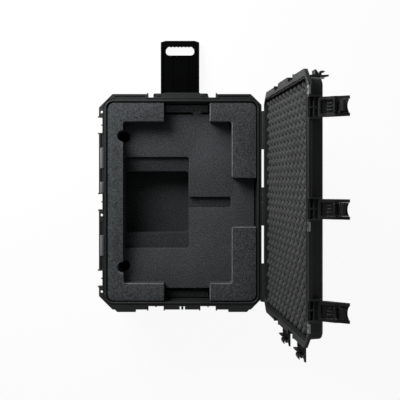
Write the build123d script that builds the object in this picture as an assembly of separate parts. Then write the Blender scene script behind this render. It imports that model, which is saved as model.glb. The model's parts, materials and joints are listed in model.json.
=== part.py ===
from build123d import *
import os
from math import atan, cos, degrees, pi, radians, sin, tan

# Moulded transport case for a desktop monitor. It lies on its back: +Z is up out of the
# open base, the hinge is on the +X side, the front latches on the -X side, the pull handle
# at +Y and the wheels at -Y. All sizes are millimetres; the floor is z = 0.

# Opening and walls
OPENING_X = 559.0
OPENING_Y = 742.0
OPENING_R = 25.0
WALL = 4.5
DRAFT_DEG = 1.5
BASE_DEPTH = 203.0
FLOOR_INSIDE_Z = 34.0
FLOOR_EDGE_R = 12.0
LID_HEIGHT = 50.0
LID_DRAFT_DEG = 3.0
LID_EDGE_R = 8.0

# Flange that both halves share
PARTING_GAP = 0.3
FLANGE_W = 28.0
HINGE_FLANGE_W = 15.0
PLATE_T = 6.0
LID_PLATE_T = 8.0
SKIRT_T = 4.0
SKIRT_H = 22.0
LID_SKIRT_H = 11.0
FRONT_CORNER_CUT = 50.0
HINGE_CORNER_CUT = 40.0
CORNER_SOFTEN = 6.0
GUSSET_T = 3.0
GUSSET_H = 14.0
GUSSET_END_X = (30.0, 150.0)
GUSSET_FRONT_STEP = 30.0
EDGE_GROOVE_W = 2.0
EDGE_GROOVE_IN = 1.2
MIDDLE_TAB_OUT = 5.0

# Pockets sunk into the base flange beside the latch bays
RAIL_IN = 6.6
SLOT_W = 4.8
SLOT_DEPTH = 4.5
POCKET_END = 17.0
POCKET_DEPTH = 2.0
POCKET_L = 50.0
POCKET_MARGIN = 6.0

# Seal: a tongue on the base enters a groove in the lid and meets a rubber strip
TONGUE_IN = 1.0
TONGUE_W = 4.5
TONGUE_H = 3.0
SEAL_GAP = 0.3
SEAL_T = 2.0
GROOVE_SIDE = 0.6
DRIP_IN = 8.0
DRIP_W = 3.0
DRIP_DEPTH = 2.5

# Hinge along Y
HINGE_GAP = 0.3
KNUCKLE_R = 6.2
HINGE_PIN_R = 2.5
RUN_CLEAR = 0.06
HINGE_PITCH = 282.0
HINGE_SHIFT = -17.0
HINGE_LEN = 142.0
KNUCKLES = 5
KNUCKLE_SIDE_GAP = 0.5
LID_OPEN_DEG = 95.0
STOP_DROP = 8.5

# Latch bays, seven alike
BAY_W = 57.0
BAY_DEPTH = 12.5
FRONT_BAY_PITCH = 283.8
END_BAY_X = 96.6
KEEPER_T = 11.0
TOOTH_W = 4.5
TOOTH_OUT = 4.0
CHEEK_T = 4.5
CHEEK_OUT = 3.7
CHEEK_NOSE_H = 13.2
LATCH_PIN_R = 2.5
PIVOT_IN = 3.0
PIVOT_UP = 33.0
LATCH_SIDE_GAP = 0.5
LATCH_HUB_R = 6.0
LATCH_REACH = 82.0
LATCH_FACE_OUT = 11.0
HOOK_DROP = 44.3
HOOK_IN = 18.0
HOOK_T = 8.7
HOOK_W = 34.0
RAIL_W = 9.0
LEVER_RIDGE_PITCH = 9.5
LEVER_NECK = 17.0
LEVER_SKIN = 3.0
TRIGGER_DROP = 57.0
TRIGGER_PIN_IN = 7.5
TRIGGER_PIN_R = 1.5
TRIGGER_HUB_R = 3.2
TRIGGER_GAP = 0.5
CLAW_W = 30.0
FRONT_LATCH_DEG = 143.0
WHEEL_LATCH_DEG = 90.0
HANDLE_LATCH_DEG = 170.0
BAY_RIB_W = 5.0
BAY_BAR_LOW = 16.0
BAY_BAR_T = 5.0
BAY_BAR_CLEAR = 1.0

# Padlock loops beside the front bays
PADLOCK_R = 5.0
PADLOCK_SIDE = 0.5
PADLOCK_STEP = 49.0
PADLOCK_T = 11.0
PADLOCK_PAD_W = 26.0
STEEL_T = 1.2
STEEL_LIP = 5.0
STEEL_HOLE_GAP = 0.4

# Small ring at the pull-handle end and notches at the wheel end
RING_X = -3.5
RING_IN = 3.5
RING_R = 7.5
RING_HOLE_R = 3.0
NOTCH_X = 1.0
NOTCH_W = 5.5
NOTCH_TAB_W = 8.0
NOTCH_DEPTH = 12.0

# Feet of the flange and wheel columns at the wheel end
COLUMN_X = 206.0
COLUMN_W = 68.0
COLUMN_OUT = 9.0
COLUMN_WALL = 4.0
WHEEL_R = 28.0
WHEEL_W = 36.0
WHEEL_Z = 30.0
WHEEL_OUT = 31.0
AXLE_R = 5.0
AXLE_CAP_R = 8.0
AXLE_CAP_T = 2.0
AXLE_END_GAP = 0.2
TYRE_T = 7.0
WHEEL_SIDE_GAP = 1.0
HUB_HOLES = 5
HUB_HOLE_R = 3.6
HUB_BOSS_WALL = 3.5
WHEEL_ARCH_GAP = 6.0

# Pull handle in its channel under the base
HANDLE_X = -9.0
HANDLE_W = 154.8
HANDLE_LOW = 6.0
HANDLE_T = 18.0
HANDLE_GUIDE_H = 5.0
HANDLE_GUIDE_W = 6.4
HANDLE_TIP_Y = 641.0
HANDLE_TAIL_Y = 265.0
HANDLE_TRAVEL = 225.0
GRIP_HOLE_W = 115.0
GRIP_HOLE_H = 36.0
GRIP_HOLE_R = 15.0
GRIP_BAR = 23.0
SCALLOPS = 7
SCALLOP_PITCH = 14.4
SCALLOP_R = 9.5
SCALLOP_DEPTH = 2.0
RIDGE_X = 32.0
RIDGE_W = 4.0
RIDGE_H = 1.5
CHANNEL_GAP = 0.6
EAR_OUT = 4.5
CHANNEL_WALL = 5.5
CHANNEL_END_GAP = 10.0
MOUTH_L = 20.0
COVER_Z = 1.0
COVER_T = 3.5
COVER_END_Y = 370.0
HOOD_X = -5.0
HOOD_W = 208.0
HOOD_OUT = 10.0
HOOD_DROP = 60.0
HOOD_WALL = 4.0
HOOD_PAD_W = 18.0
HOOD_PAD_L = 9.0
HOOD_PAD_H = 2.0
HOOD_PAD_IN = 11.0
HOOD_PEG_R = 3.0
HOOD_PEG_IN = 5.0
SCREW_R = 2.0
SCREW_HEAD_R = 3.8
SCREW_HEAD_H = 1.8
SCREW_BOSS_R = 5.5
SCREW_L = 16.0
SCREW_SEAT_GAP = 0.2
COVER_SCREWS = 3

# Carry handles that fold down against the walls
CARRY_W = 176.0
END_CARRY_W = 118.0
CARRY_Y = 162.0
CARRY_IN = 13.0
CARRY_DROP = 34.0
CARRY_ARM_L = 46.0
CARRY_ARM_W = 14.0
CARRY_ARM_T = 9.0
CARRY_PIN_R = 2.5
CARRY_HUB_R = 6.0
CARRY_BAR_R = 6.0
GRIP_R = 10.0
GRIP_RIBS = 8
GRIP_GROOVE_W = 2.4
GRIP_SIDE_GAP = 0.3
LUG_T = 6.0
LUG_GAP = 0.5

# Underside runners and the pad between them
RUNNER_X = 195.0
RUNNER_W = 76.0
RUNNER_L = 600.0
RUNNER_CORNER_R = 19.0
RUNNER_EDGE = 6.0
CROSS_PAD_L = 60.0
CROSS_PAD_GAP = 5.0
CROSS_PAD_CORNER_R = 9.5

# Pressure valve on the front wall
VALVE_R = 14.0
VALVE_H = 9.0
VALVE_DROP = 95.0
VALVE_STEM_R = 6.0
VALVE_SEAT_H = 2.0
VALVE_SEAT_W = 3.0
VALVE_SLOT_L = 20.0
VALVE_SLOT_W = 3.0

# Foam nest, from the top down
FOAM_TOP_DROP = 1.0
FOAM_GAP = 3.5
MONITOR_DEPTH = 57.0
STAND_DEPTH = 14.0
FOOT_DEPTH = 79.0
MONITOR_X0 = -218.5
MONITOR_X1 = 185.0
MONITOR_Y0 = -302.5
MONITOR_Y1 = 297.2
MONITOR_R = 9.0
SIDE_NOTCH_Y0 = -93.3
SIDE_NOTCH_Y1 = 88.0
END_NOTCH_X0 = -66.5
END_NOTCH_X1 = 103.5
FINGER_R = 20.7
FINGER_Y = 243.5
FINGER_X = -219.0
STAND_X1 = 26.0
STAND_Y0 = -177.0
STAND_Y1 = 167.5
CHANNEL_Y0 = -23.6
CHANNEL_Y1 = 16.2
FOOT_X0 = -213.5
FOOT_X1 = 24.0
FOOT_Y0 = -119.5
FOOT_Y1 = 113.0
WELL_INNER_Y = 329.0
STRIP_INNER_Y = 339.0
STRIP_T = 27.5
STRIP_TOP_DROP = 16.0
STRIP_END_GAP = 3.0
TAB_X = 57.0
TAB_W = 41.0
TAB_TIP_W = 30.0
TAB_OUT = 8.5

# Lid foam
LID_FOAM_T = 18.0
LID_FOAM_SIDE = 5.0
BUMP_PITCH = 48.0
BUMP_STEP = 24.0
BUMP_H = 22.0
BUMP_R = 22.0
BUMP_TOP_R = 7.0

# Worked-out places
RIM_Z = FLOOR_INSIDE_Z + BASE_DEPTH
LID_Z = RIM_Z + PARTING_GAP
UNDERSIDE_Z = FLOOR_INSIDE_Z - WALL
FRONT_EDGE = OPENING_X / 2 + FLANGE_W
HINGE_EDGE = OPENING_X / 2 + HINGE_FLANGE_W
END_EDGE = OPENING_Y / 2 + FLANGE_W
HINGE_X = HINGE_EDGE + KNUCKLE_R + HINGE_GAP
WALL_IN = FLANGE_W - WALL
SECTION_X = OPENING_X / 2 - OPENING_R
SECTION_Y = HINGE_PITCH - HINGE_SHIFT + HINGE_LEN / 2 - HINGE_LEN / KNUCKLES
LATCH_W = BAY_W - 2 * LATCH_SIDE_GAP
CHEEK_U = BAY_W / 2
GROOVE_DEPTH = TONGUE_H + SEAL_GAP + SEAL_T
PADLOCK_IN = SKIRT_T + PADLOCK_SIDE + PADLOCK_R
PADLOCK_PAD_D = FLANGE_W - DRIP_IN - DRIP_W
FOAM_TOP_Z = RIM_Z - FOAM_TOP_DROP
MONITOR_FLOOR_Z = FOAM_TOP_Z - MONITOR_DEPTH
STAND_FLOOR_Z = MONITOR_FLOOR_Z - STAND_DEPTH
FOOT_FLOOR_Z = STAND_FLOOR_Z - FOOT_DEPTH
WHEEL_Y = -(OPENING_Y / 2 + WHEEL_OUT)
HANDLE_TOP = HANDLE_LOW + HANDLE_T
CHANNEL_START_Y = HANDLE_TAIL_Y - HANDLE_TRAVEL - CHANNEL_END_GAP
HOOD_FACE_Y = END_EDGE + HOOD_OUT
CHANNEL_END_Y = HOOD_FACE_Y - HOOD_WALL
EAR_FRONT_Y = CHANNEL_END_Y - MOUTH_L - PARTING_GAP
UP = (0, 0, 1)
DOWN = (0, 0, -1)


def block(x0, x1, y0, y1, z0, z1):
    """Rectangular solid between two corners."""
    middle = Pos((x0 + x1) / 2, (y0 + y1) / 2, (z0 + z1) / 2)
    return middle * Box(x1 - x0, y1 - y0, z1 - z0)


def slab(outline, low, high):
    """Flat outline raised from one height to another."""
    return extrude(Pos(0, 0, low) * outline, amount=high - low, dir=UP)


def along_y(points, y0, y1):
    """X-Z outline carried along Y."""
    face = Plane.XZ * Polygon(*points, align=None)
    return Pos(0, y0, 0) * extrude(face, amount=y1 - y0, dir=(0, 1, 0))


def rod_y(x, z, radius, y0, y1):
    """Round bar parallel to Y."""
    bar = Cylinder(radius, y1 - y0, rotation=(90, 0, 0))
    return Pos(x, (y0 + y1) / 2, z) * bar


def rod_x(y, z, radius, x0, x1):
    """Round bar parallel to X."""
    bar = Cylinder(radius, x1 - x0, rotation=(0, 90, 0))
    return Pos((x0 + x1) / 2, y, z) * bar


def rod_z(x, y, radius, z0, z1):
    """Upright round bar."""
    return Pos(x, y, (z0 + z1) / 2) * Cylinder(radius, z1 - z0)


def opened(shape):
    """Swing a piece of the closed lid up about the hinge."""
    return shape.rotate(Axis((HINGE_X, 0, RIM_Z), (0, 1, 0)), LID_OPEN_DEG)


def bay_places():
    """Place of each latch bay: local -X points out, local Z = 0 is the parting plane."""
    places = {}
    for number, y in enumerate((FRONT_BAY_PITCH, 0, -FRONT_BAY_PITCH), start=1):
        places[f"front_{number}"] = Pos(-FRONT_EDGE, y, RIM_Z)
    for number, x in enumerate((-END_BAY_X, END_BAY_X), start=1):
        places[f"handle_end_{number}"] = Pos(x, END_EDGE, RIM_Z) * Rot(0, 0, -90)
        places[f"wheel_end_{number}"] = Pos(x, -END_EDGE, RIM_Z) * Rot(0, 0, 90)
    return places


def latch_angle(name):
    """How far each latch stands open in the rest pose."""
    if name.startswith("front"):
        return FRONT_LATCH_DEG
    if name.startswith("wheel"):
        return WHEEL_LATCH_DEG
    return HANDLE_LATCH_DEG


def carry_places():
    """Place of each carry handle: local -X points out, local Z = 0 is the parting plane."""
    return {
        "front_1": (Pos(-FRONT_EDGE, CARRY_Y, RIM_Z), CARRY_W),
        "front_2": (Pos(-FRONT_EDGE, -CARRY_Y, RIM_Z), CARRY_W),
        "wheel_end": (Pos(0, -END_EDGE, RIM_Z) * Rot(0, 0, 90), END_CARRY_W),
    }


def padlock_places():
    """Middle of each padlock hole on the front flange."""
    steps = (PADLOCK_STEP, -PADLOCK_STEP, -PADLOCK_STEP)
    bays = (FRONT_BAY_PITCH, 0, -FRONT_BAY_PITCH)
    return [(-FRONT_EDGE + PADLOCK_IN, y + step) for y, step in zip(bays, steps)]


def hinge_centres():
    """Middle of each hinge group along Y."""
    return [HINGE_SHIFT + HINGE_PITCH * k for k in (1, 0, -1)]


def opening_outline(grow=0.0):
    """Rounded opening, grown outwards by a margin."""
    return RectangleRounded(OPENING_X + 2 * grow, OPENING_Y + 2 * grow, OPENING_R + grow)


def flange_outline():
    """Flange with cut corners and middle tab, without bays or feet."""
    width = FRONT_EDGE + HINGE_EDGE
    plate = Pos((HINGE_EDGE - FRONT_EDGE) / 2, 0) * Rectangle(width, 2 * END_EDGE)
    by_x = plate.vertices().sort_by(Axis.X)
    plate = chamfer(by_x[:2], FRONT_CORNER_CUT)
    by_x = plate.vertices().sort_by(Axis.X)
    plate = chamfer(by_x[-2:], HINGE_CORNER_CUT)
    return fillet(plate.vertices(), CORNER_SOFTEN) + middle_tab()


def middle_tab():
    """Flange between the two bays of the pull-handle end, which stands out a little."""
    half = END_BAY_X - BAY_W / 2 - CHEEK_T
    return Polygon((-half, END_EDGE - SKIRT_T), (half, END_EDGE - SKIRT_T),
                   (half - MIDDLE_TAB_OUT, END_EDGE + MIDDLE_TAB_OUT),
                   (MIDDLE_TAB_OUT - half, END_EDGE + MIDDLE_TAB_OUT), align=None)


def base_outline():
    """Flange of the base, with the two feet over the wheel columns."""
    outline = flange_outline()
    for side in (-1, 1):
        middle = side * COLUMN_X
        half = COLUMN_W / 2
        foot_y = -END_EDGE - COLUMN_OUT
        foot = Polygon(
            (middle - half, -END_EDGE + COLUMN_OUT), (middle + half, -END_EDGE + COLUMN_OUT),
            (middle + half, foot_y), (middle - half, foot_y), align=None)
        brace = Polygon(
            (middle + side * half, foot_y), (middle + side * (half + COLUMN_OUT), -END_EDGE),
            (middle + side * half, -END_EDGE), align=None)
        outline = outline + foot + brace
    return outline


def ring(outline, width):
    """Band of the given width just inside an outline."""
    return outline - offset(outline, amount=-width, kind=Kind.INTERSECTION)


def tub(grow, start_z, end_z, draft_deg):
    """Tapered block that starts at the grown opening and narrows to its far end."""
    face = Pos(0, 0, start_z) * opening_outline(grow)
    away = UP if end_z > start_z else DOWN
    return extrude(face, amount=abs(end_z - start_z), dir=away, taper=draft_deg)


def bay_cutter(depth_below, depth_above):
    """Notch of one latch bay in the flange and skirt."""
    return block(-4 * CHEEK_OUT, BAY_DEPTH, -BAY_W / 2, BAY_W / 2, -depth_below, depth_above)


def bay_cheeks(points):
    """Pair of cheek plates that flank a bay."""
    near = along_y(points, CHEEK_U, CHEEK_U + CHEEK_T)
    far = along_y(points, -CHEEK_U - CHEEK_T, -CHEEK_U)
    return [near, far]


def base_bay():
    """Keeper, tooth and cheeks that the base adds at one bay."""
    keeper = block(BAY_DEPTH, WALL_IN + WALL / 2, -BAY_W / 2, BAY_W / 2, -KEEPER_T, 0)
    tooth = along_y(
        [(BAY_DEPTH - TOOTH_OUT, -KEEPER_T / 2), (BAY_DEPTH - TOOTH_OUT, 0), (BAY_DEPTH, 0),
         (BAY_DEPTH, -KEEPER_T)], -TOOTH_W / 2, TOOTH_W / 2)
    cheek = [(-CHEEK_OUT, 0), (-CHEEK_OUT, -CHEEK_NOSE_H), (SKIRT_T, -SKIRT_H),
             (WALL_IN + WALL / 2, -SKIRT_H), (WALL_IN + WALL / 2, 0)]
    return [keeper, tooth] + bay_cheeks(cheek)


def lid_bay():
    """Cheeks that hold one latch pin on the lid, with the framework between them."""
    top = PIVOT_UP + LATCH_PIN_R + CHEEK_T
    back = WALL_IN + WALL / 2
    low = PARTING_GAP
    cheek = [(-CHEEK_OUT, low), (-CHEEK_OUT, top - CHEEK_T), (0, top), (back, top), (back, low)]
    plates = bay_cheeks(cheek)
    span = CHEEK_U + CHEEK_T + 1
    bore = rod_y(PIVOT_IN, PIVOT_UP, LATCH_PIN_R + RUN_CLEAR, -span, span)
    return [plate - bore for plate in plates] + bay_frame()


def bay_frame():
    """Rib, crossbar and two short arms on the lid's wall, clear of the closed lever."""
    front = PIVOT_IN + LATCH_HUB_R + BAY_BAR_CLEAR
    back = WALL_IN + WALL / 2
    half = BAY_W / 2
    bar_top = BAY_BAR_LOW + BAY_BAR_T
    arm_top = PIVOT_UP - LATCH_HUB_R
    bar = block(front, back, -half, half, BAY_BAR_LOW, bar_top)
    rib = block(front, back, -BAY_RIB_W / 2, BAY_RIB_W / 2, LID_PLATE_T / 2, arm_top)
    arms = [block(front, back, *sorted((side * half, side * (half - BAY_RIB_W))), bar_top - 1,
                  arm_top) for side in (-1, 1)]
    return [bar, rib] + arms


def hinge_knuckles(for_lid):
    """Knuckles of one half; the base has the odd ones and the lid the even ones."""
    step = HINGE_LEN / KNUCKLES
    parts = []
    for centre in hinge_centres():
        for k in range(KNUCKLES):
            if (k % 2 == 1) != for_lid:
                continue
            y0 = centre - HINGE_LEN / 2 + k * step + KNUCKLE_SIDE_GAP / 2
            y1 = y0 + step - KNUCKLE_SIDE_GAP
            parts += knuckle(y0, y1, for_lid)
    return parts


def knuckle(y0, y1, for_lid):
    """One barrel with the arm that joins it to its flange."""
    barrel = rod_y(HINGE_X, RIM_Z, KNUCKLE_R, y0, y1)
    root_x = HINGE_EDGE - SKIRT_T
    if for_lid:
        arm = block(root_x, HINGE_X, y0, y1, RIM_Z + HINGE_GAP, RIM_Z + KNUCKLE_R)
        return [barrel, arm, stop_lug(y0, y1)]
    arm = block(root_x, HINGE_X, y0, y1, RIM_Z - KNUCKLE_R, RIM_Z - HINGE_GAP)
    return [barrel, arm]


def stop_lug(y0, y1):
    """Lug under a lid barrel that meets the base flange when the lid stands open."""
    low = RIM_Z - STOP_DROP
    lug = block(HINGE_X - KNUCKLE_R, HINGE_X - HINGE_PIN_R, y0, y1, low, RIM_Z - HINGE_PIN_R)
    return lug.rotate(Axis((HINGE_X, 0, RIM_Z), (0, 1, 0)), -LID_OPEN_DEG)


def hinge_bores():
    """Bore through each hinge group, a running clearance larger than its pin."""
    half = HINGE_LEN / 2 + 1
    radius = HINGE_PIN_R + RUN_CLEAR
    return [rod_y(HINGE_X, RIM_Z, radius, c - half, c + half) for c in hinge_centres()]


def hinge_pins():
    """Three steel pins, one for each hinge group."""
    half = HINGE_LEN / 2 - KNUCKLE_SIDE_GAP / 2
    pins = [rod_y(HINGE_X, RIM_Z, HINGE_PIN_R, c - half, c + half) for c in hinge_centres()]
    return Compound(children=pins)


def end_places(offsets):
    """Places on both end edges at some distances from the middle, in the bays' own frame."""
    spots = [side * offset for offset in offsets for side in (-1, 1)]
    handle_end = [Pos(x, END_EDGE, RIM_Z) * Rot(0, 0, -90) for x in spots]
    wheel_end = [Pos(x, -END_EDGE, RIM_Z) * Rot(0, 0, 90) for x in spots]
    return handle_end + wheel_end


def base_gussets():
    """Thin ribs under the base flange, between its wall and its skirt."""
    back = WALL_IN + WALL / 2
    rib = [(SKIRT_T / 2, -PLATE_T / 2), (back, -PLATE_T / 2), (back, -PLATE_T - GUSSET_H),
           (SKIRT_T / 2, -PLATE_T - GUSSET_H / 2)]
    fronts = [Pos(-FRONT_EDGE, y, RIM_Z) for y in
              (CARRY_Y - GUSSET_FRONT_STEP, CARRY_Y + GUSSET_FRONT_STEP,
               -CARRY_Y - GUSSET_FRONT_STEP, -CARRY_Y + GUSSET_FRONT_STEP)]
    return [place * along_y(rib, -GUSSET_T / 2, GUSSET_T / 2)
            for place in fronts + end_places(GUSSET_END_X)]


def lid_gussets():
    """Thin ribs above the lid flange at its two ends."""
    back = WALL_IN + WALL / 2
    rib = [(SKIRT_T / 2, LID_PLATE_T / 2), (back, LID_PLATE_T / 2),
           (back, LID_PLATE_T + GUSSET_H), (SKIRT_T / 2, LID_SKIRT_H)]
    return [place * along_y(rib, -GUSSET_T / 2, GUSSET_T / 2)
            for place in end_places(GUSSET_END_X)]


def flange_pockets():
    """Slots and shelves sunk into the base flange beside its bays."""
    spans = []
    for name in ("front_1", "front_2"):
        place, width = carry_places()[name]
        spans += [(place, side, width / 2 - POCKET_L, width / 2) for side in (-1, 1)]
    near = END_BAY_X + BAY_W / 2 + CHEEK_T + POCKET_MARGIN
    far = HINGE_EDGE - HINGE_CORNER_CUT - POCKET_MARGIN
    handle_end = Pos(0, END_EDGE, RIM_Z) * Rot(0, 0, -90)
    spans += [(handle_end, side, near, far) for side in (-1, 1)]
    cuts = []
    for place, side, start, end in spans:
        u0, u1 = sorted((side * start, side * end))
        slot_end = RAIL_IN + SLOT_W
        cuts.append(place * block(RAIL_IN, slot_end, u0, u1, -SLOT_DEPTH, 1))
        cuts.append(place * block(slot_end - 1, POCKET_END, u0, u1, -POCKET_DEPTH, 1))
    return cuts


def padlock_blocks(low, high):
    """Blocks of flange around the padlock holes, as deep as the drip groove leaves room."""
    x0 = -FRONT_EDGE
    x1 = -FRONT_EDGE + PADLOCK_PAD_D
    half = PADLOCK_PAD_W / 2
    return [block(x0, x1, y - half, y + half, low, high) for _, y in padlock_places()]


def tag_ring(low, high, radius=RING_R):
    """Round lug in the middle of the flange at the pull-handle end."""
    return rod_z(RING_X, END_EDGE - RING_IN, radius, low, high)


def lock_lugs(low, high, ring_low, ring_high):
    """Padlock lugs and tag ring of one half, each with its hole."""
    lugs = [lug - rod_z(x, y, PADLOCK_R, low - 1, high + 1)
            for lug, (x, y) in zip(padlock_blocks(low, high), padlock_places())]
    hole = tag_ring(ring_low - 1, ring_high + 1, RING_HOLE_R)
    return lugs + [tag_ring(ring_low, ring_high) - hole]


def lock_lugs_base():
    """Padlock lugs and tag ring set into the base flange."""
    return Compound(children=lock_lugs(RIM_Z - PADLOCK_T, RIM_Z, RIM_Z - PLATE_T, RIM_Z))


def lock_lugs_lid():
    """Padlock lugs and tag ring set into the lid flange."""
    lugs = lock_lugs(LID_Z + STEEL_T, RIM_Z + PADLOCK_T, LID_Z, RIM_Z + LID_PLATE_T)
    return Compound(children=[opened(lug) for lug in lugs])


def runners():
    """Two runners and the pad between them that the case lies on."""
    pads = [Pos(side * RUNNER_X, 0) * RectangleRounded(RUNNER_W, RUNNER_L, RUNNER_CORNER_R)
            for side in (-1, 1)]
    half = RUNNER_X - RUNNER_W / 2 - CROSS_PAD_GAP
    far = CHANNEL_START_Y - CHANNEL_WALL - CROSS_PAD_GAP
    middle = Pos(0, far - CROSS_PAD_L / 2)
    pads.append(middle * RectangleRounded(2 * half, CROSS_PAD_L, CROSS_PAD_CORNER_R))
    solids = []
    for pad in pads:
        solid = slab(pad, 0, UNDERSIDE_Z)
        solids.append(chamfer(solid.faces().sort_by(Axis.Z)[0].edges(), RUNNER_EDGE))
    return Compound(children=solids)


def handle_channel():
    """Side walls, end wall, mouth guides and screw bosses of the pull-handle channel."""
    inner = HANDLE_W / 2 + CHANNEL_GAP + EAR_OUT
    outer = inner + CHANNEL_WALL
    guide = HANDLE_W / 2 + CHANNEL_GAP
    low = COVER_Z + COVER_T
    start_y = CHANNEL_START_Y - CHANNEL_WALL
    walls = block(HANDLE_X - outer, HANDLE_X + outer, start_y, CHANNEL_START_Y, low, UNDERSIDE_Z)
    for side in (-1, 1):
        x0, x1 = sorted((HANDLE_X + side * inner, HANDLE_X + side * outer))
        walls += block(x0, x1, start_y, CHANNEL_END_Y, low, UNDERSIDE_Z)
        x0, x1 = sorted((HANDLE_X + side * guide, HANDLE_X + side * outer))
        walls += block(x0, x1, CHANNEL_END_Y - MOUTH_L, CHANNEL_END_Y, low, UNDERSIDE_Z)
    for x, y in cover_screw_places():
        walls += rod_z(x, y, SCREW_BOSS_R, low, UNDERSIDE_Z)
    bore_top = COVER_Z + SCREW_L + 1
    walls -= [rod_z(x, y, SCREW_R + RUN_CLEAR, COVER_Z, bore_top) for x, y in cover_screw_places()]
    return walls


def cover_screw_places():
    """Screws along both sides of the channel cover."""
    x = HANDLE_W / 2 + CHANNEL_GAP + EAR_OUT + CHANNEL_WALL + SCREW_BOSS_R / 2
    step = (COVER_END_Y - CHANNEL_START_Y) / COVER_SCREWS
    rows = [CHANNEL_START_Y + step * (k + 0.5) for k in range(COVER_SCREWS)]
    return [(HANDLE_X + side * x, y) for side in (-1, 1) for y in rows]


def handle_housing():
    """Moulded hood on the end wall over the pull handle's way out."""
    low = COVER_Z + COVER_T
    top = RIM_Z - HOOD_DROP
    wall_y = OPENING_Y / 2 - WALL
    half = HOOD_W / 2
    hood = block(HOOD_X - half, HOOD_X + half, wall_y, HOOD_FACE_Y, low, top)
    hood = chamfer(hood.edges().filter_by(Axis.Z).group_by(Axis.Y)[-1], HOOD_WALL)
    hood -= block(HOOD_X - half + HOOD_WALL, HOOD_X + half - HOOD_WALL, wall_y - 1,
                  HOOD_FACE_Y - HOOD_WALL, low - 1, top - HOOD_WALL)
    mouth = HANDLE_W / 2 + CHANNEL_GAP
    hood -= block(HANDLE_X - mouth, HANDLE_X + mouth, wall_y, HOOD_FACE_Y + 1, low - 1,
                  UNDERSIDE_Z)
    for side in (-1, 1):
        peg_x = HOOD_X + side * (half - HOOD_PEG_IN)
        hood -= rod_z(peg_x, HOOD_FACE_Y - HOOD_PEG_IN, HOOD_PEG_R, top - 2 * HOOD_WALL, top + 1)
        x0, x1 = sorted((HOOD_X + side * (half - HOOD_PAD_IN),
                         HOOD_X + side * (half - HOOD_PAD_IN - HOOD_PAD_W)))
        y1 = HOOD_FACE_Y - HOOD_WALL / 4
        hood += block(x0, x1, y1 - HOOD_PAD_L, y1, top - 1, top + HOOD_PAD_H)
    return hood - outer_tub()


def wheel_housing(side):
    """Column from the flange's foot down to one wheel, with its arch cut out."""
    middle = side * COLUMN_X
    x0, x1 = middle - COLUMN_W / 2, middle + COLUMN_W / 2
    face_y = -END_EDGE - COLUMN_OUT + SKIRT_T
    wall_y = WALL - OPENING_Y / 2
    column = block(x0, x1, face_y, wall_y, WHEEL_Z, RIM_Z - PLATE_T)
    pocket_w = (COLUMN_W - 3 * COLUMN_WALL) / 2
    pocket_y = -OPENING_Y / 2 - WALL - COLUMN_WALL
    for k in (-1, 1):
        px = middle + k * (pocket_w + COLUMN_WALL) / 2
        column -= block(px - pocket_w / 2, px + pocket_w / 2, face_y - 1, pocket_y,
                        WHEEL_Z + WHEEL_R + 3 * WHEEL_ARCH_GAP, RIM_Z - SKIRT_H - COLUMN_WALL)
    eye_r = AXLE_R + 3 * COLUMN_WALL
    for outer_x, inner_x in ((x0, x0 + COLUMN_WALL), (x1 - COLUMN_WALL, x1)):
        column += rod_x(WHEEL_Y, WHEEL_Z, eye_r, outer_x, inner_x)
        column += block(outer_x, inner_x, WHEEL_Y, wall_y, WHEEL_Z - eye_r, WHEEL_Z + eye_r)
    column -= rod_x(WHEEL_Y, WHEEL_Z, WHEEL_R + WHEEL_ARCH_GAP, x0 + COLUMN_WALL,
                    x1 - COLUMN_WALL)
    column -= rod_x(WHEEL_Y, WHEEL_Z, AXLE_R + RUN_CLEAR, x0 - 1, x1 + 1)
    return column - base_skirt() - outer_tub()


def wheel_housings():
    """Both wheel columns."""
    return Compound(children=[wheel_housing(side) for side in (-1, 1)])


def carry_lugs(width):
    """Pair of wall lugs that hold one carry handle, in the handle's own place."""
    back = WALL_IN + WALL / 2
    z = -CARRY_DROP
    lugs = []
    for side in (-1, 1):
        u0, u1 = sorted((side * (width / 2 + LUG_GAP), side * (width / 2 + LUG_GAP + LUG_T)))
        plate = along_y([(CARRY_IN, z - CARRY_HUB_R), (CARRY_IN, z + CARRY_HUB_R),
                         (back, z + 2 * CARRY_HUB_R), (back, z - 2 * CARRY_HUB_R)], u0, u1)
        nose = rod_y(CARRY_IN, z, CARRY_HUB_R, u0, u1)
        bore = rod_y(CARRY_IN, z, CARRY_PIN_R + RUN_CLEAR, u0 - 1, u1 + 1)
        lugs.append(plate + nose - bore)
    return lugs


def valve_place():
    """Centre of the pressure valve on the front wall."""
    sink = VALVE_DROP * tan(radians(DRAFT_DEG))
    return Pos(-OPENING_X / 2 - WALL + sink, 0, RIM_Z - VALVE_DROP)


def end_notches():
    """Two narrow notches beside a small tab in the middle of the wheel end."""
    cuts = []
    for side in (-1, 1):
        near = NOTCH_X + side * NOTCH_TAB_W / 2
        x0, x1 = sorted((near, near + side * NOTCH_W))
        cuts.append(block(x0, x1, -END_EDGE - 1, -END_EDGE + NOTCH_DEPTH,
                          RIM_Z - SKIRT_H - 1, RIM_Z + 1))
    return cuts


def outer_tub():
    """Outside of the base below its flange."""
    outer = tub(WALL, RIM_Z, UNDERSIDE_Z, DRAFT_DEG)
    return fillet(outer.faces().sort_by(Axis.Z)[0].edges(), FLOOR_EDGE_R)


def inner_tub():
    """Inside of the base."""
    inner = tub(0, RIM_Z, FLOOR_INSIDE_Z, DRAFT_DEG)
    return fillet(inner.faces().sort_by(Axis.Z)[0].edges(), FLOOR_EDGE_R - WALL)


def base_skirt():
    """Turned-down edge of the base flange."""
    return slab(ring(base_outline(), SKIRT_T), RIM_Z - SKIRT_H, RIM_Z)


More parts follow.
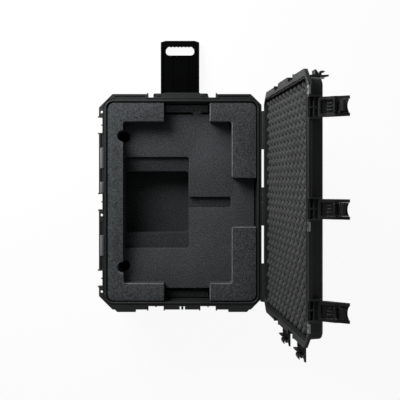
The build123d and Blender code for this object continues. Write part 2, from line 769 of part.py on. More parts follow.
def base_flange():
    """Flange of the base with its bays, notches, pockets and seats for the lugs."""
    outline = base_outline()
    flange = slab(outline, RIM_Z - PLATE_T, RIM_Z) + base_skirt()
    groove_low = RIM_Z - SKIRT_H / 2
    flange -= slab(ring(outline, EDGE_GROOVE_IN), groove_low, groove_low + EDGE_GROOVE_W)
    flange += base_gussets()
    flange -= padlock_blocks(RIM_Z - PADLOCK_T, RIM_Z + 1)
    flange -= tag_ring(RIM_Z - PLATE_T, RIM_Z + 1)
    flange -= [place * bay_cutter(2 * SKIRT_H, CHEEK_T) for place in bay_places().values()]
    flange -= end_notches()
    return flange - flange_pockets()


def base_shell():
    """Moulding of the base in sections: tub, flange, bays, knuckles and handle lugs."""
    shell = base_flange() + outer_tub()
    for place in bay_places().values():
        shell += [place * piece for piece in base_bay()]
    shell += hinge_knuckles(False)
    for place, width in carry_places().values():
        shell += [place * lug for lug in carry_lugs(width)]
    shell += valve_place() * rod_x(0, 0, VALVE_R + VALVE_SEAT_W, -VALVE_SEAT_H, WALL / 2)
    tongue = opening_outline(TONGUE_IN + TONGUE_W) - opening_outline(TONGUE_IN)
    shell += slab(tongue, RIM_Z, RIM_Z + TONGUE_H)
    shell -= inner_tub()
    drip = opening_outline(DRIP_IN + DRIP_W) - opening_outline(DRIP_IN)
    shell -= slab(drip, RIM_Z - DRIP_DEPTH, RIM_Z + 1)
    shell -= hinge_bores()
    shell -= valve_place() * rod_x(0, 0, VALVE_STEM_R + RUN_CLEAR, -WALL, 3 * WALL)
    return base_sections(shell)


def base_sections(shell):
    """Floor, sides and corners of the base, face to face, so that its hollow stays open."""
    far = 2 * END_EDGE
    across = (-far, -SECTION_X, SECTION_X, far)
    along = (-far, -SECTION_Y, SECTION_Y, far)
    sections = [shell & block(-far, far, -far, far, 0, FLOOR_INSIDE_Z)]
    for column in range(3):
        for row in range(3):
            if column == row == 1:
                continue
            sections.append(shell & block(across[column], across[column + 1], along[row],
                                          along[row + 1], FLOOR_INSIDE_Z, far))
    return Compound(children=[solid for section in sections for solid in section.solids()])


def channel_cover():
    """Plate that closes the pull-handle channel from below."""
    half = HANDLE_W / 2 + CHANNEL_GAP + EAR_OUT + CHANNEL_WALL + 1.5 * SCREW_BOSS_R
    y0, y1 = CHANNEL_START_Y - CHANNEL_WALL, COVER_END_Y
    outline = Pos(HANDLE_X, (y0 + y1) / 2) * RectangleRounded(2 * half, y1 - y0, SCREW_BOSS_R)
    plate = slab(outline, COVER_Z, COVER_Z + COVER_T)
    for x, y in cover_screw_places():
        plate -= rod_z(x, y, SCREW_R + RUN_CLEAR, 0, COVER_Z + COVER_T + 1)
        plate -= rod_z(x, y, SCREW_HEAD_R + SCREW_SEAT_GAP, 0,
                       COVER_Z + SCREW_HEAD_H + SCREW_SEAT_GAP)
    return plate


def cover_screws():
    """Six screws of the channel cover."""
    head_low = COVER_Z + SCREW_SEAT_GAP
    screws = []
    for x, y in cover_screw_places():
        head = rod_z(x, y, SCREW_HEAD_R, head_low, head_low + SCREW_HEAD_H)
        screws.append(head + rod_z(x, y, SCREW_R, head_low + SCREW_HEAD_H / 2, SCREW_L))
    return Compound(children=screws)


def pull_handle():
    """Wide pull handle with a grip hole, finger scallops, side guides and stop ears."""
    half = HANDLE_W / 2
    body = Pos(0, (HANDLE_TIP_Y + HANDLE_TAIL_Y) / 2) * Rectangle(
        HANDLE_W, HANDLE_TIP_Y - HANDLE_TAIL_Y)
    body = chamfer(body.vertices().group_by(Axis.Y)[-1], SCALLOP_DEPTH * 3, SCALLOP_R * 2)
    body = fillet(body.vertices().group_by(Axis.Y)[-1], GRIP_BAR / 3)
    tail_y = (HANDLE_TAIL_Y + EAR_FRONT_Y) / 2
    ears = Pos(0, tail_y) * Rectangle(HANDLE_W + 2 * EAR_OUT, EAR_FRONT_Y - HANDLE_TAIL_Y)
    hole_y = HANDLE_TIP_Y - GRIP_BAR - GRIP_HOLE_H / 2
    hole = Pos(0, hole_y) * RectangleRounded(GRIP_HOLE_W, GRIP_HOLE_H, GRIP_HOLE_R)
    top_y = hole_y + GRIP_HOLE_H / 2 + SCALLOP_DEPTH - SCALLOP_R
    for k in range(SCALLOPS):
        x = (k - (SCALLOPS - 1) / 2) * SCALLOP_PITCH
        hole += Pos(x, top_y) * Circle(SCALLOP_R)
    handle = slab(body + ears, HANDLE_LOW, HANDLE_TOP)
    for side in (-1, 1):
        x0, x1 = sorted((side * (half - HANDLE_GUIDE_W), side * half))
        guide_end = HANDLE_TIP_Y - GRIP_BAR
        handle += block(x0, x1, HANDLE_TAIL_Y, guide_end, HANDLE_TOP,
                        HANDLE_TOP + HANDLE_GUIDE_H)
        x = side * RIDGE_X
        handle += block(x - RIDGE_W / 2, x + RIDGE_W / 2, HANDLE_TAIL_Y,
                        hole_y - GRIP_HOLE_H / 2 - HANDLE_GUIDE_W, HANDLE_TOP, HANDLE_TOP + RIDGE_H)
    handle -= slab(hole, 0, HANDLE_TOP + 1)
    handle -= handle_pockets(hole_y - GRIP_HOLE_H / 2)
    return Pos(HANDLE_X, 0, 0) * handle


def handle_pockets(end_y):
    """Pockets under the handle that leave its skin and ribs."""
    rows = 4
    step = (end_y - 2 * RIDGE_W - HANDLE_TAIL_Y) / rows
    middle_w = 2 * RIDGE_X - RIDGE_W
    side_w = HANDLE_W / 2 - HANDLE_GUIDE_W - RIDGE_X - RIDGE_W / 2
    pockets = []
    for k in range(rows):
        y0 = HANDLE_TAIL_Y + RIDGE_W + k * step
        y1 = y0 + step - RIDGE_W
        pockets.append(block(-middle_w / 2, middle_w / 2, y0, y1, 0, HANDLE_TOP - RIDGE_W))
        for side in (-1, 1):
            x = side * (RIDGE_X + RIDGE_W / 2 + side_w / 2)
            pockets.append(block(x - side_w / 2, x + side_w / 2, y0, y1, 0,
                                 HANDLE_TOP - RIDGE_W))
    return pockets


def lever_rails():
    """Two side rails of a latch lever with their hub ends, local to the closed bay."""
    x, z = PIVOT_IN, PIVOT_UP
    face = x - LATCH_FACE_OUT
    points = [
        (x - LATCH_HUB_R, z), (x - LATCH_HUB_R - 2, z - 6), (face, z - LEVER_NECK),
        (face, z - LATCH_REACH), (face + 5, z - LATCH_REACH + 1),
        (face + 7, z - TRIGGER_DROP - 8), (x - 2, z - TRIGGER_DROP + 4), (x + 3, z - HOOK_DROP),
        (x + 3, z - 20), (x + LATCH_HUB_R, z),
    ]
    rails = []
    for side in (-1, 1):
        u0, u1 = sorted((side * LATCH_W / 2, side * (LATCH_W / 2 - RAIL_W)))
        rails.append(along_y(points, u0, u1) + rod_y(x, z, LATCH_HUB_R, u0, u1))
    return rails


def latch_lever():
    """Latch lever in the closed bay: rails, web, neck, ridges and hook bar."""
    x, z = PIVOT_IN, PIVOT_UP
    face = x - LATCH_FACE_OUT
    inner_w = LATCH_W / 2 - RAIL_W / 2
    lever = lever_rails()[0] + lever_rails()[1]
    skin = face + 1 + LEVER_SKIN
    web = along_y([(face + 1, z - LEVER_NECK), (skin, z - LEVER_NECK),
                   (skin, z - HOOK_DROP - HOOK_T), (face + 1, z - HOOK_DROP - HOOK_T)],
                  -inner_w, inner_w)
    ridge = along_y([(face + 3, z - LEVER_NECK), (x - 2, z - 20), (x - 2, z - 34),
                     (face + 3, z - HOOK_DROP)], -RIDGE_W / 2, RIDGE_W / 2)
    ridges = [Pos(0, k * LEVER_RIDGE_PITCH, 0) * ridge for k in (-1, 0, 1)]
    bridge = rod_y(x, z, LATCH_HUB_R, -inner_w, inner_w)
    neck = along_y([(x - LATCH_HUB_R, z), (face + 1, z - LEVER_NECK), (skin, z - LEVER_NECK),
                    (x - 1, z - 3)], -inner_w, inner_w)
    hook = along_y(
        [(face + 2, z - HOOK_DROP + 9), (face + 2, z - HOOK_DROP - HOOK_T),
         (x + HOOK_IN / 2, z - HOOK_DROP - HOOK_T), (x + HOOK_IN, z - HOOK_DROP - HOOK_T / 2),
         (x + HOOK_IN, z - HOOK_DROP), (x + 3, z - HOOK_DROP), (x - 3, z - HOOK_DROP + 6)],
        -HOOK_W / 2, HOOK_W / 2)
    shelf = along_y([(face + 1, z - HOOK_DROP), (face + 1, z - HOOK_DROP - HOOK_T),
                     (x - 2, z - HOOK_DROP - HOOK_T), (x - 2, z - HOOK_DROP)],
                    -inner_w, inner_w)
    lever += [web, bridge, neck, hook, shelf] + ridges
    span = BAY_W
    lever -= rod_y(x, z, LATCH_PIN_R + RUN_CLEAR, -span, span)
    lever -= rod_y(x - TRIGGER_PIN_IN, z - TRIGGER_DROP, TRIGGER_PIN_R + RUN_CLEAR, -span, span)
    return lever


def trigger_pin():
    """Small pin across the lever's rails."""
    half = LATCH_W / 2 - 1
    return rod_y(PIVOT_IN - TRIGGER_PIN_IN, PIVOT_UP - TRIGGER_DROP, TRIGGER_PIN_R, -half, half)


def latch_trigger():
    """Trigger between the rails: hub, thumb plate with a hollowed edge, and claw."""
    x, z = PIVOT_IN, PIVOT_UP
    face = x - LATCH_FACE_OUT
    half = LATCH_W / 2 - RAIL_W - TRIGGER_GAP
    tx, tz = x - TRIGGER_PIN_IN, z - TRIGGER_DROP
    hub = rod_y(tx, tz, TRIGGER_HUB_R, -half, half)
    plate = along_y([(face + 0.5, tz), (face + 3.5, tz), (face + 3.5, z - LATCH_REACH + 3),
                     (face + 0.5, z - LATCH_REACH + 3)], -half, half)
    scoop_r = 2 * half
    scoop = rod_x(0, 0, scoop_r, face - 2, face + 5)
    sag = scoop_r * (1 - cos(radians(26)))
    plate -= Pos(0, 0, z - LATCH_REACH + 3 + sag - scoop_r) * scoop
    claw = along_y(
        [(tx, tz - 2.5), (x + 5, tz), (x + LATCH_FACE_OUT, tz - 5),
         (x + LATCH_FACE_OUT, tz - 13), (x + 7, tz - 19.5), (x + 5.5, tz - 18.5),
         (x + 6.5, tz - 12), (x + 5, tz - 7), (tx, tz - 6.5)], -CLAW_W / 2, CLAW_W / 2)
    trigger = hub + plate + claw
    return trigger - rod_y(tx, tz, TRIGGER_PIN_R + RUN_CLEAR, -BAY_W, BAY_W)


def latch_parts(name, place):
    """Lever, pin and trigger of one latch, opened on its bay and swung with the lid."""
    axis = Axis((PIVOT_IN, 0, PIVOT_UP), (0, 1, 0))
    pieces = {"lever": latch_lever(), "trigger_pin": trigger_pin(), "trigger": latch_trigger()}
    angle = latch_angle(name)
    return {f"latch_{name}_{kind}": opened(place * shape.rotate(axis, angle))
            for kind, shape in pieces.items()}


def latch_pins():
    """Seven steel pins in the lid's cheeks."""
    half = CHEEK_U + CHEEK_T
    pins = [place * rod_y(PIVOT_IN, PIVOT_UP, LATCH_PIN_R, -half, half)
            for place in bay_places().values()]
    return Compound(children=[opened(pin) for pin in pins])


def lid_flange():
    """Flange of the lid with its bays and seats for the lugs."""
    outline = flange_outline()
    flange = slab(outline, LID_Z, RIM_Z + LID_PLATE_T)
    flange += slab(ring(outline, SKIRT_T), LID_Z, RIM_Z + LID_SKIRT_H)
    groove_low = RIM_Z + LID_SKIRT_H / 2
    flange -= slab(ring(outline, EDGE_GROOVE_IN), groove_low, groove_low + EDGE_GROOVE_W)
    flange += lid_gussets()
    flange -= padlock_blocks(LID_Z - 1, RIM_Z + LID_SKIRT_H + 1)
    flange -= tag_ring(LID_Z - 1, RIM_Z + LID_PLATE_T)
    return flange - [place * bay_cutter(CHEEK_T, 2 * SKIRT_H) for place in bay_places().values()]


def lid_shell():
    """Moulding of the lid, swung open."""
    outer = tub(WALL, LID_Z, RIM_Z + LID_HEIGHT, LID_DRAFT_DEG)
    outer = fillet(outer.faces().sort_by(Axis.Z)[-1].edges(), LID_EDGE_R)
    shell = lid_flange() + outer
    for place in bay_places().values():
        shell += [place * piece for piece in lid_bay()]
    shell += hinge_knuckles(True)
    inner = tub(0, RIM_Z, RIM_Z + LID_HEIGHT - WALL, LID_DRAFT_DEG)
    inner = fillet(inner.faces().sort_by(Axis.Z)[-1].edges(), LID_EDGE_R - WALL)
    shell -= inner
    groove = (opening_outline(TONGUE_IN + TONGUE_W + GROOVE_SIDE)
              - opening_outline(TONGUE_IN - GROOVE_SIDE))
    shell -= slab(groove, RIM_Z - 1, RIM_Z + GROOVE_DEPTH)
    shell -= hinge_bores()
    return opened(shell)


def lid_seal():
    """Rubber strip at the bottom of the lid's groove."""
    band = opening_outline(TONGUE_IN + TONGUE_W) - opening_outline(TONGUE_IN)
    low = RIM_Z + GROOVE_DEPTH - SEAL_T
    return opened(slab(band, low, low + SEAL_T))


def bump_spots():
    """Middles of the lid foam's bumps, in rows that step sideways by half a pitch."""
    rows = int((OPENING_Y / 2 - 2 * LID_FOAM_SIDE - BUMP_R) / BUMP_STEP)
    columns = int((OPENING_X / 2 - 2 * LID_FOAM_SIDE - BUMP_R) / BUMP_PITCH)
    spots = []
    for row in range(-rows, rows + 1):
        shift = BUMP_PITCH / 2 if row % 2 else 0.0
        for column in range(-columns, columns + 1):
            x = column * BUMP_PITCH + shift
            if x <= columns * BUMP_PITCH:
                spots.append((x, row * BUMP_STEP))
    return spots


def lid_foam():
    """Foam sheet that fills the lid, with its convoluted face towards the base."""
    top = RIM_Z + LID_HEIGHT - WALL
    low = top - LID_FOAM_T
    sheet = tub(-LID_FOAM_SIDE, low, top, LID_DRAFT_DEG)
    sheet = chamfer(sheet.faces().sort_by(Axis.Z)[-1].edges(), LID_EDGE_R - WALL)
    foot = RegularPolygon(BUMP_R, 4)
    draft = degrees(atan((BUMP_R - BUMP_TOP_R) * cos(pi / 4) / BUMP_H))
    bump = extrude(foot, amount=BUMP_H, dir=DOWN, taper=draft)
    sheet += [Pos(x, y, low) * bump for x, y in bump_spots()]
    return opened(sheet)


def padlock_plates():
    """Steel plates on the parting face of the lid's padlock lugs, with a lip over the edge."""
    faces = padlock_blocks(LID_Z, LID_Z + STEEL_T)
    plates = []
    for face, (x, y) in zip(faces, padlock_places()):
        half = PADLOCK_PAD_W / 2
        lip = block(-FRONT_EDGE - STEEL_T, -FRONT_EDGE, y - half, y + half, LID_Z,
                    LID_Z + STEEL_LIP)
        hole = rod_z(x, y, PADLOCK_R + STEEL_HOLE_GAP, LID_Z - 1, LID_Z + STEEL_T + 1)
        plates.append(opened(face + lip - hole))
    return Compound(children=plates)


def foam_block(low, high):
    """Plain block of nest foam between two heights, clear of the tapered walls."""
    start = RIM_Z - high
    grow = -FOAM_GAP - start * tan(radians(DRAFT_DEG))
    return tub(grow, high, low, DRAFT_DEG)


def pocket(x0, x1, y0, y1, radius, low, high):
    """Rounded pocket cutter."""
    outline = Pos((x0 + x1) / 2, (y0 + y1) / 2) * RectangleRounded(x1 - x0, y1 - y0, radius)
    return slab(outline, low - 1, high + 1)


def finger_holes(low, high):
    """Two round finger holes on the latch side of the monitor pocket."""
    return [rod_z(FINGER_X, side * FINGER_Y, FINGER_R, low - 1, high + 1) for side in (-1, 1)]


def end_wells(low, high):
    """Wells at both ends of the nest, open to the case wall."""
    wall = OPENING_Y / 2 + 1
    return [block(END_NOTCH_X0, END_NOTCH_X1, *sorted((side * WELL_INNER_Y, side * wall)),
                  low - 1, high + 1) for side in (-1, 1)]


def foam_top():
    """Top layer: monitor pocket with its side and end notches."""
    low, high = MONITOR_FLOOR_Z, FOAM_TOP_Z
    sheet = foam_block(low, high)
    sheet -= pocket(MONITOR_X0, MONITOR_X1, MONITOR_Y0, MONITOR_Y1, MONITOR_R, low, high)
    wall = OPENING_X / 2 + 1
    sheet -= block(MONITOR_X1 - MONITOR_R * 2, wall, SIDE_NOTCH_Y0, SIDE_NOTCH_Y1,
                   low - 1, high + 1)
    for side in (-1, 1):
        edge = MONITOR_Y1 if side > 0 else -MONITOR_Y0
        y0, y1 = sorted((side * (edge - 2 * MONITOR_R), side * (OPENING_Y / 2 + 1)))
        sheet -= block(END_NOTCH_X0, END_NOTCH_X1, y0, y1, low - 1, high + 1)
    sheet -= finger_holes(low, high)
    return sheet


def foam_middle():
    """Second layer: stand pocket with a channel for its arm."""
    low, high = STAND_FLOOR_Z, MONITOR_FLOOR_Z
    sheet = foam_block(low, high)
    sheet -= pocket(MONITOR_X0, STAND_X1, STAND_Y0, STAND_Y1, MONITOR_R, low, high)
    sheet -= block(STAND_X1 - MONITOR_R, MONITOR_X1, CHANNEL_Y0, CHANNEL_Y1, low - 1, high + 1)
    sheet -= finger_holes(low, high)
    sheet -= end_wells(low, high)
    return sheet


def foam_lower():
    """Third layer: deep pocket for the stand's foot."""
    low, high = FOOT_FLOOR_Z, STAND_FLOOR_Z
    sheet = foam_block(low, high)
    sheet -= pocket(FOOT_X0, FOOT_X1, FOOT_Y0, FOOT_Y1, MONITOR_R, low, high)
    sheet -= finger_holes(low, high)
    sheet -= end_wells(low, high)
    return sheet


def foam_pad():
    """Plain pad on the floor of the base."""
    sheet = foam_block(FLOOR_INSIDE_Z, FOOT_FLOOR_Z)
    return chamfer(sheet.faces().sort_by(Axis.Z)[0].edges(), FLOOR_EDGE_R - WALL)


def foam_strip(side):
    """Loose foam strip that stands in one end well, with a finger tab."""
    x0, x1 = END_NOTCH_X0 + STRIP_END_GAP, END_NOTCH_X1 - STRIP_END_GAP
    y0, y1 = STRIP_INNER_Y, STRIP_INNER_Y + STRIP_T
    outline = Polygon(
        (x0, y0), (TAB_X - TAB_W / 2, y0), (TAB_X - TAB_TIP_W / 2, y0 - TAB_OUT),
        (TAB_X + TAB_TIP_W / 2, y0 - TAB_OUT), (TAB_X + TAB_W / 2, y0), (x1, y0), (x1, y1),
        (x0, y1), align=None)
    strip = slab(outline, FOOT_FLOOR_Z, MONITOR_FLOOR_Z - STRIP_TOP_DROP)
    return strip if side > 0 else mirror(strip, Plane.XZ)


def wheel_axles():
    """Two axles with a flat head at each end."""
    axles = []
    for side in (-1, 1):
        x0 = side * COLUMN_X - COLUMN_W / 2
        x1 = side * COLUMN_X + COLUMN_W / 2
        axle = rod_x(WHEEL_Y, WHEEL_Z, AXLE_R, x0 - AXLE_END_GAP, x1 + AXLE_END_GAP)
        axle += rod_x(WHEEL_Y, WHEEL_Z, AXLE_CAP_R, x0 - AXLE_END_GAP - AXLE_CAP_T, x0 - AXLE_END_GAP)
        axle += rod_x(WHEEL_Y, WHEEL_Z, AXLE_CAP_R, x1 + AXLE_END_GAP, x1 + AXLE_END_GAP + AXLE_CAP_T)
        axles.append(axle)
    return Compound(children=axles)


def wheel_hub(side):
    """Moulded hub with spokes cut from both faces."""
    x0 = side * COLUMN_X - WHEEL_W / 2
    x1 = x0 + WHEEL_W
    rim_r = WHEEL_R - TYRE_T
    hub = rod_x(WHEEL_Y, WHEEL_Z, rim_r, x0 + 2, x1 - 2)
    boss_end = COLUMN_W / 2 - COLUMN_WALL - WHEEL_SIDE_GAP
    middle = side * COLUMN_X
    hub += rod_x(WHEEL_Y, WHEEL_Z, AXLE_R + HUB_BOSS_WALL, middle - boss_end, middle + boss_end)
    for k in range(HUB_HOLES):
        turn = 2 * pi * k / HUB_HOLES
        y = WHEEL_Y + (rim_r + AXLE_R + 2) / 2 * cos(turn)
        z = WHEEL_Z + (rim_r + AXLE_R + 2) / 2 * sin(turn)
        hub -= rod_x(y, z, HUB_HOLE_R, x0, x0 + WHEEL_W / 3)
        hub -= rod_x(y, z, HUB_HOLE_R, x1 - WHEEL_W / 3, x1)
    return hub - rod_x(WHEEL_Y, WHEEL_Z, AXLE_R + RUN_CLEAR, x0 - WHEEL_W, x1 + WHEEL_W)


def wheel_tyre(side):
    """Soft tyre with rounded shoulders."""
    x0 = side * COLUMN_X - WHEEL_W / 2
    tyre = rod_x(WHEEL_Y, WHEEL_Z, WHEEL_R, x0, x0 + WHEEL_W)
    tyre = fillet(tyre.edges(), TYRE_T / 2)
    return tyre - rod_x(WHEEL_Y, WHEEL_Z, WHEEL_R - TYRE_T, x0 - 1, x0 + WHEEL_W + 1)


def carry_frame(width):
    """Carry handle in its own place, hanging straight down: two arms and a bar."""
    x, z = CARRY_IN, -CARRY_DROP
    bar_z = z - CARRY_ARM_L
    half_t = CARRY_ARM_T / 2
    frame = rod_y(x, bar_z, CARRY_BAR_R, -width / 2 + 1, width / 2 - 1)
    for side in (-1, 1):
        u0, u1 = sorted((side * width / 2, side * (width / 2 - CARRY_ARM_W)))
        frame += block(x - half_t, x + half_t, u0, u1, bar_z, z)
        frame += rod_y(x, z, CARRY_HUB_R, u0, u1)
        frame += rod_y(x, bar_z, CARRY_BAR_R, u0, u1)
        frame -= rod_y(x, z, CARRY_PIN_R + RUN_CLEAR, u0 - 1, u1 + 1)
    return frame


def carry_grip(width):
    """Soft ribbed sleeve around a carry handle's bar."""
    x, bar_z = CARRY_IN, -CARRY_DROP - CARRY_ARM_L
    half = width / 2 - CARRY_ARM_W - GRIP_SIDE_GAP
    grip = rod_y(x, bar_z, GRIP_R, -half, half)
    step = 2 * half / (GRIP_RIBS + 1)
    for k in range(GRIP_RIBS):
        u = -half + (k + 1) * step
        band = rod_y(x, bar_z, GRIP_R + 1, u - GRIP_GROOVE_W / 2, u + GRIP_GROOVE_W / 2)
        grip -= band - rod_y(x, bar_z, GRIP_R - 1, u - 2, u + 2)
    return grip - rod_y(x, bar_z, CARRY_BAR_R, -half - 1, half + 1)


def carry_pins():
    """Short pins, two for each carry handle."""
    pins = []
    for place, width in carry_places().values():
        for side in (-1, 1):
            u0, u1 = sorted((side * (width / 2 - CARRY_ARM_W + 1),
                             side * (width / 2 + LUG_GAP + LUG_T)))
            pins.append(place * rod_y(CARRY_IN, -CARRY_DROP, CARRY_PIN_R, u0, u1))
    return Compound(children=pins)


def pressure_valve():
    """Round pressure valve with a slotted face, its stem through the front wall."""
    face = rod_x(0, 0, VALVE_R, -VALVE_H, -VALVE_SEAT_H)
    face = fillet(face.edges().group_by(Axis.X)[0], 2)
    stem = rod_x(0, 0, VALVE_STEM_R, -VALVE_SEAT_H - 1, WALL - 1)
    slot = block(-VALVE_H - 1, -VALVE_H + 2, -VALVE_SLOT_L / 2, VALVE_SLOT_L / 2,
                 -VALVE_SLOT_W / 2, VALVE_SLOT_W / 2)
    return valve_place() * (face + stem - slot)


def all_nodes():
    """Every piece by its node name."""
    nodes = {
        "base_shell": base_shell(),
        "lock_lugs_base": lock_lugs_base(),
        "runners": runners(),
        "handle_channel": handle_channel(),
        "handle_housing": handle_housing(),
        "wheel_housings": wheel_housings(),
        "hinge_pins": hinge_pins(),
        "foam_pad": foam_pad(),
        "foam_lower": foam_lower(),
        "foam_middle": foam_middle(),
        "foam_top": foam_top(),
        "foam_strip_handle_end": foam_strip(1),
        "foam_strip_wheel_end": foam_strip(-1),
        "channel_cover": channel_cover(),
        "cover_screws": cover_screws(),
        "wheel_axles": wheel_axles(),
        "carry_pins": carry_pins(),
        "pressure_valve": pressure_valve(),
        "lid_shell": lid_shell(),
        "lock_lugs_lid": lock_lugs_lid(),
        "lid_foam": lid_foam(),
        "lid_seal": lid_seal(),
        "latch_pins": latch_pins(),
        "padlock_plates": padlock_plates(),
        "pull_handle": pull_handle(),
    }
    for side, name in ((-1, "front_wheel"), (1, "hinge_wheel")):
        nodes[f"{name}_hub"] = wheel_hub(side)
        nodes[f"{name}_tyre"] = wheel_tyre(side)
    for name, (place, width) in carry_places().items():
        nodes[f"carry_handle_{name}"] = place * carry_frame(width)
        nodes[f"carry_grip_{name}"] = place * carry_grip(width)
    for name, place in bay_places().items():
        nodes.update(latch_parts(name, place))
    return nodes


os.makedirs("parts", exist_ok=True)
for node, shape in all_nodes().items():
    export_step(shape, f"parts/{node}.step")
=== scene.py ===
"""Looks of a wheeled monitor case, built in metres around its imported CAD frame."""

import json
import logging
import math
from collections.abc import Sequence
from dataclasses import dataclass, field
from enum import Enum

import bmesh
import bpy
from mathutils import Matrix, Vector


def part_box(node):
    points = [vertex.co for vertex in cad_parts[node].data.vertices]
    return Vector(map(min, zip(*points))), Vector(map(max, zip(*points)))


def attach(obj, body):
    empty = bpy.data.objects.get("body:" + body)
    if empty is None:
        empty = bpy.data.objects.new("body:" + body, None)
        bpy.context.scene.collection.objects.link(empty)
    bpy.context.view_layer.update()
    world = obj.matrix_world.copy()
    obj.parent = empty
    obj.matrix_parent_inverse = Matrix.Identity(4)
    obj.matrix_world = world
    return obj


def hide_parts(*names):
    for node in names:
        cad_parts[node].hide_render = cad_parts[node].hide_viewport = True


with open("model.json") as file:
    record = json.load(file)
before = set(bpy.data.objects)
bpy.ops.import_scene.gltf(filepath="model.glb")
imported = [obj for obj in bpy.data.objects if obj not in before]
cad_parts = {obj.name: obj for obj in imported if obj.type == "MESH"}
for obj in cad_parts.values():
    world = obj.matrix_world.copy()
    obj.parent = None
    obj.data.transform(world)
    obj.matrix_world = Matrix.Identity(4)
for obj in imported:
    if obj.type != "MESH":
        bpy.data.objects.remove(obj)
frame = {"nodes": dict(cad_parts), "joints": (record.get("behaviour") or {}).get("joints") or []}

log = logging.getLogger("monitor_case")

Point = tuple[float, float]
Colour = tuple[float, float, float]

# Places of the colour sockets on a mix node
MIX_FIRST, MIX_SECOND, MIX_RESULT = 6, 7, 2
BEVEL_SAMPLES = 4
OCCLUSION_SAMPLES = 8

# How finely round forms are drawn
EDGE_STEPS_DEG = (0.0, 30.0, 60.0, 90.0)
CORNER_STEPS = 5
BITE_STEPS = 20
HOLE_SIDES = 30
SHARPEST_LEAN = 0.35

WHITE: Colour = (1.0, 1.0, 1.0)
BLACK: Colour = (0.0, 0.0, 0.0)


class Tone(Enum):
    """Base colours of the case's materials, as linear values."""

    SHELL_BLACK = (0.016, 0.0170, 0.0176)
    # Painted highlight on the front flange above the carry handles.
    FLANGE_HIGHLIGHT = (0.120, 0.124, 0.128)
    LATCH_BLACK = (0.008, 0.0083, 0.0086)
    HANDLE_BLACK = (0.0010, 0.0011, 0.0013)
    WHEEL_BLACK = (0.016, 0.016, 0.017)
    RUBBER_BLACK = (0.010, 0.010, 0.011)
    NEST_GREY = (0.062, 0.0675, 0.0705)
    STAND_GREY = (0.035, 0.038, 0.0398)
    # Painted light: the handle-end strip is the same foam as the wheel-end strip, made much lighter to
    # make up for the shade the case wall casts into its well.
    STRIP_PAINTED_LIGHT = (0.200, 0.215, 0.222)
    STRIP_BLACK = (0.022, 0.0238, 0.0245)
    WELL_BLACK = (0.040, 0.0432, 0.0445)
    # Painted highlights on the foam pocket edges: bright where they face the key lamp, dim elsewhere.
    EDGE_HIGHLIGHT = (0.200, 0.208, 0.212)
    EDGE_HIGHLIGHT_DIM = (0.090, 0.095, 0.098)
    LID_GREY = (0.066, 0.067, 0.067)
    STEEL = (0.56, 0.57, 0.58)


def socket(node: bpy.types.Node, name: str, value: object) -> None:
    """Set one input of a shader node.

    Args:
        node: The shader node.
        name: The input's name.
        value: A number or a colour.
    """
    node.inputs[name].default_value = value


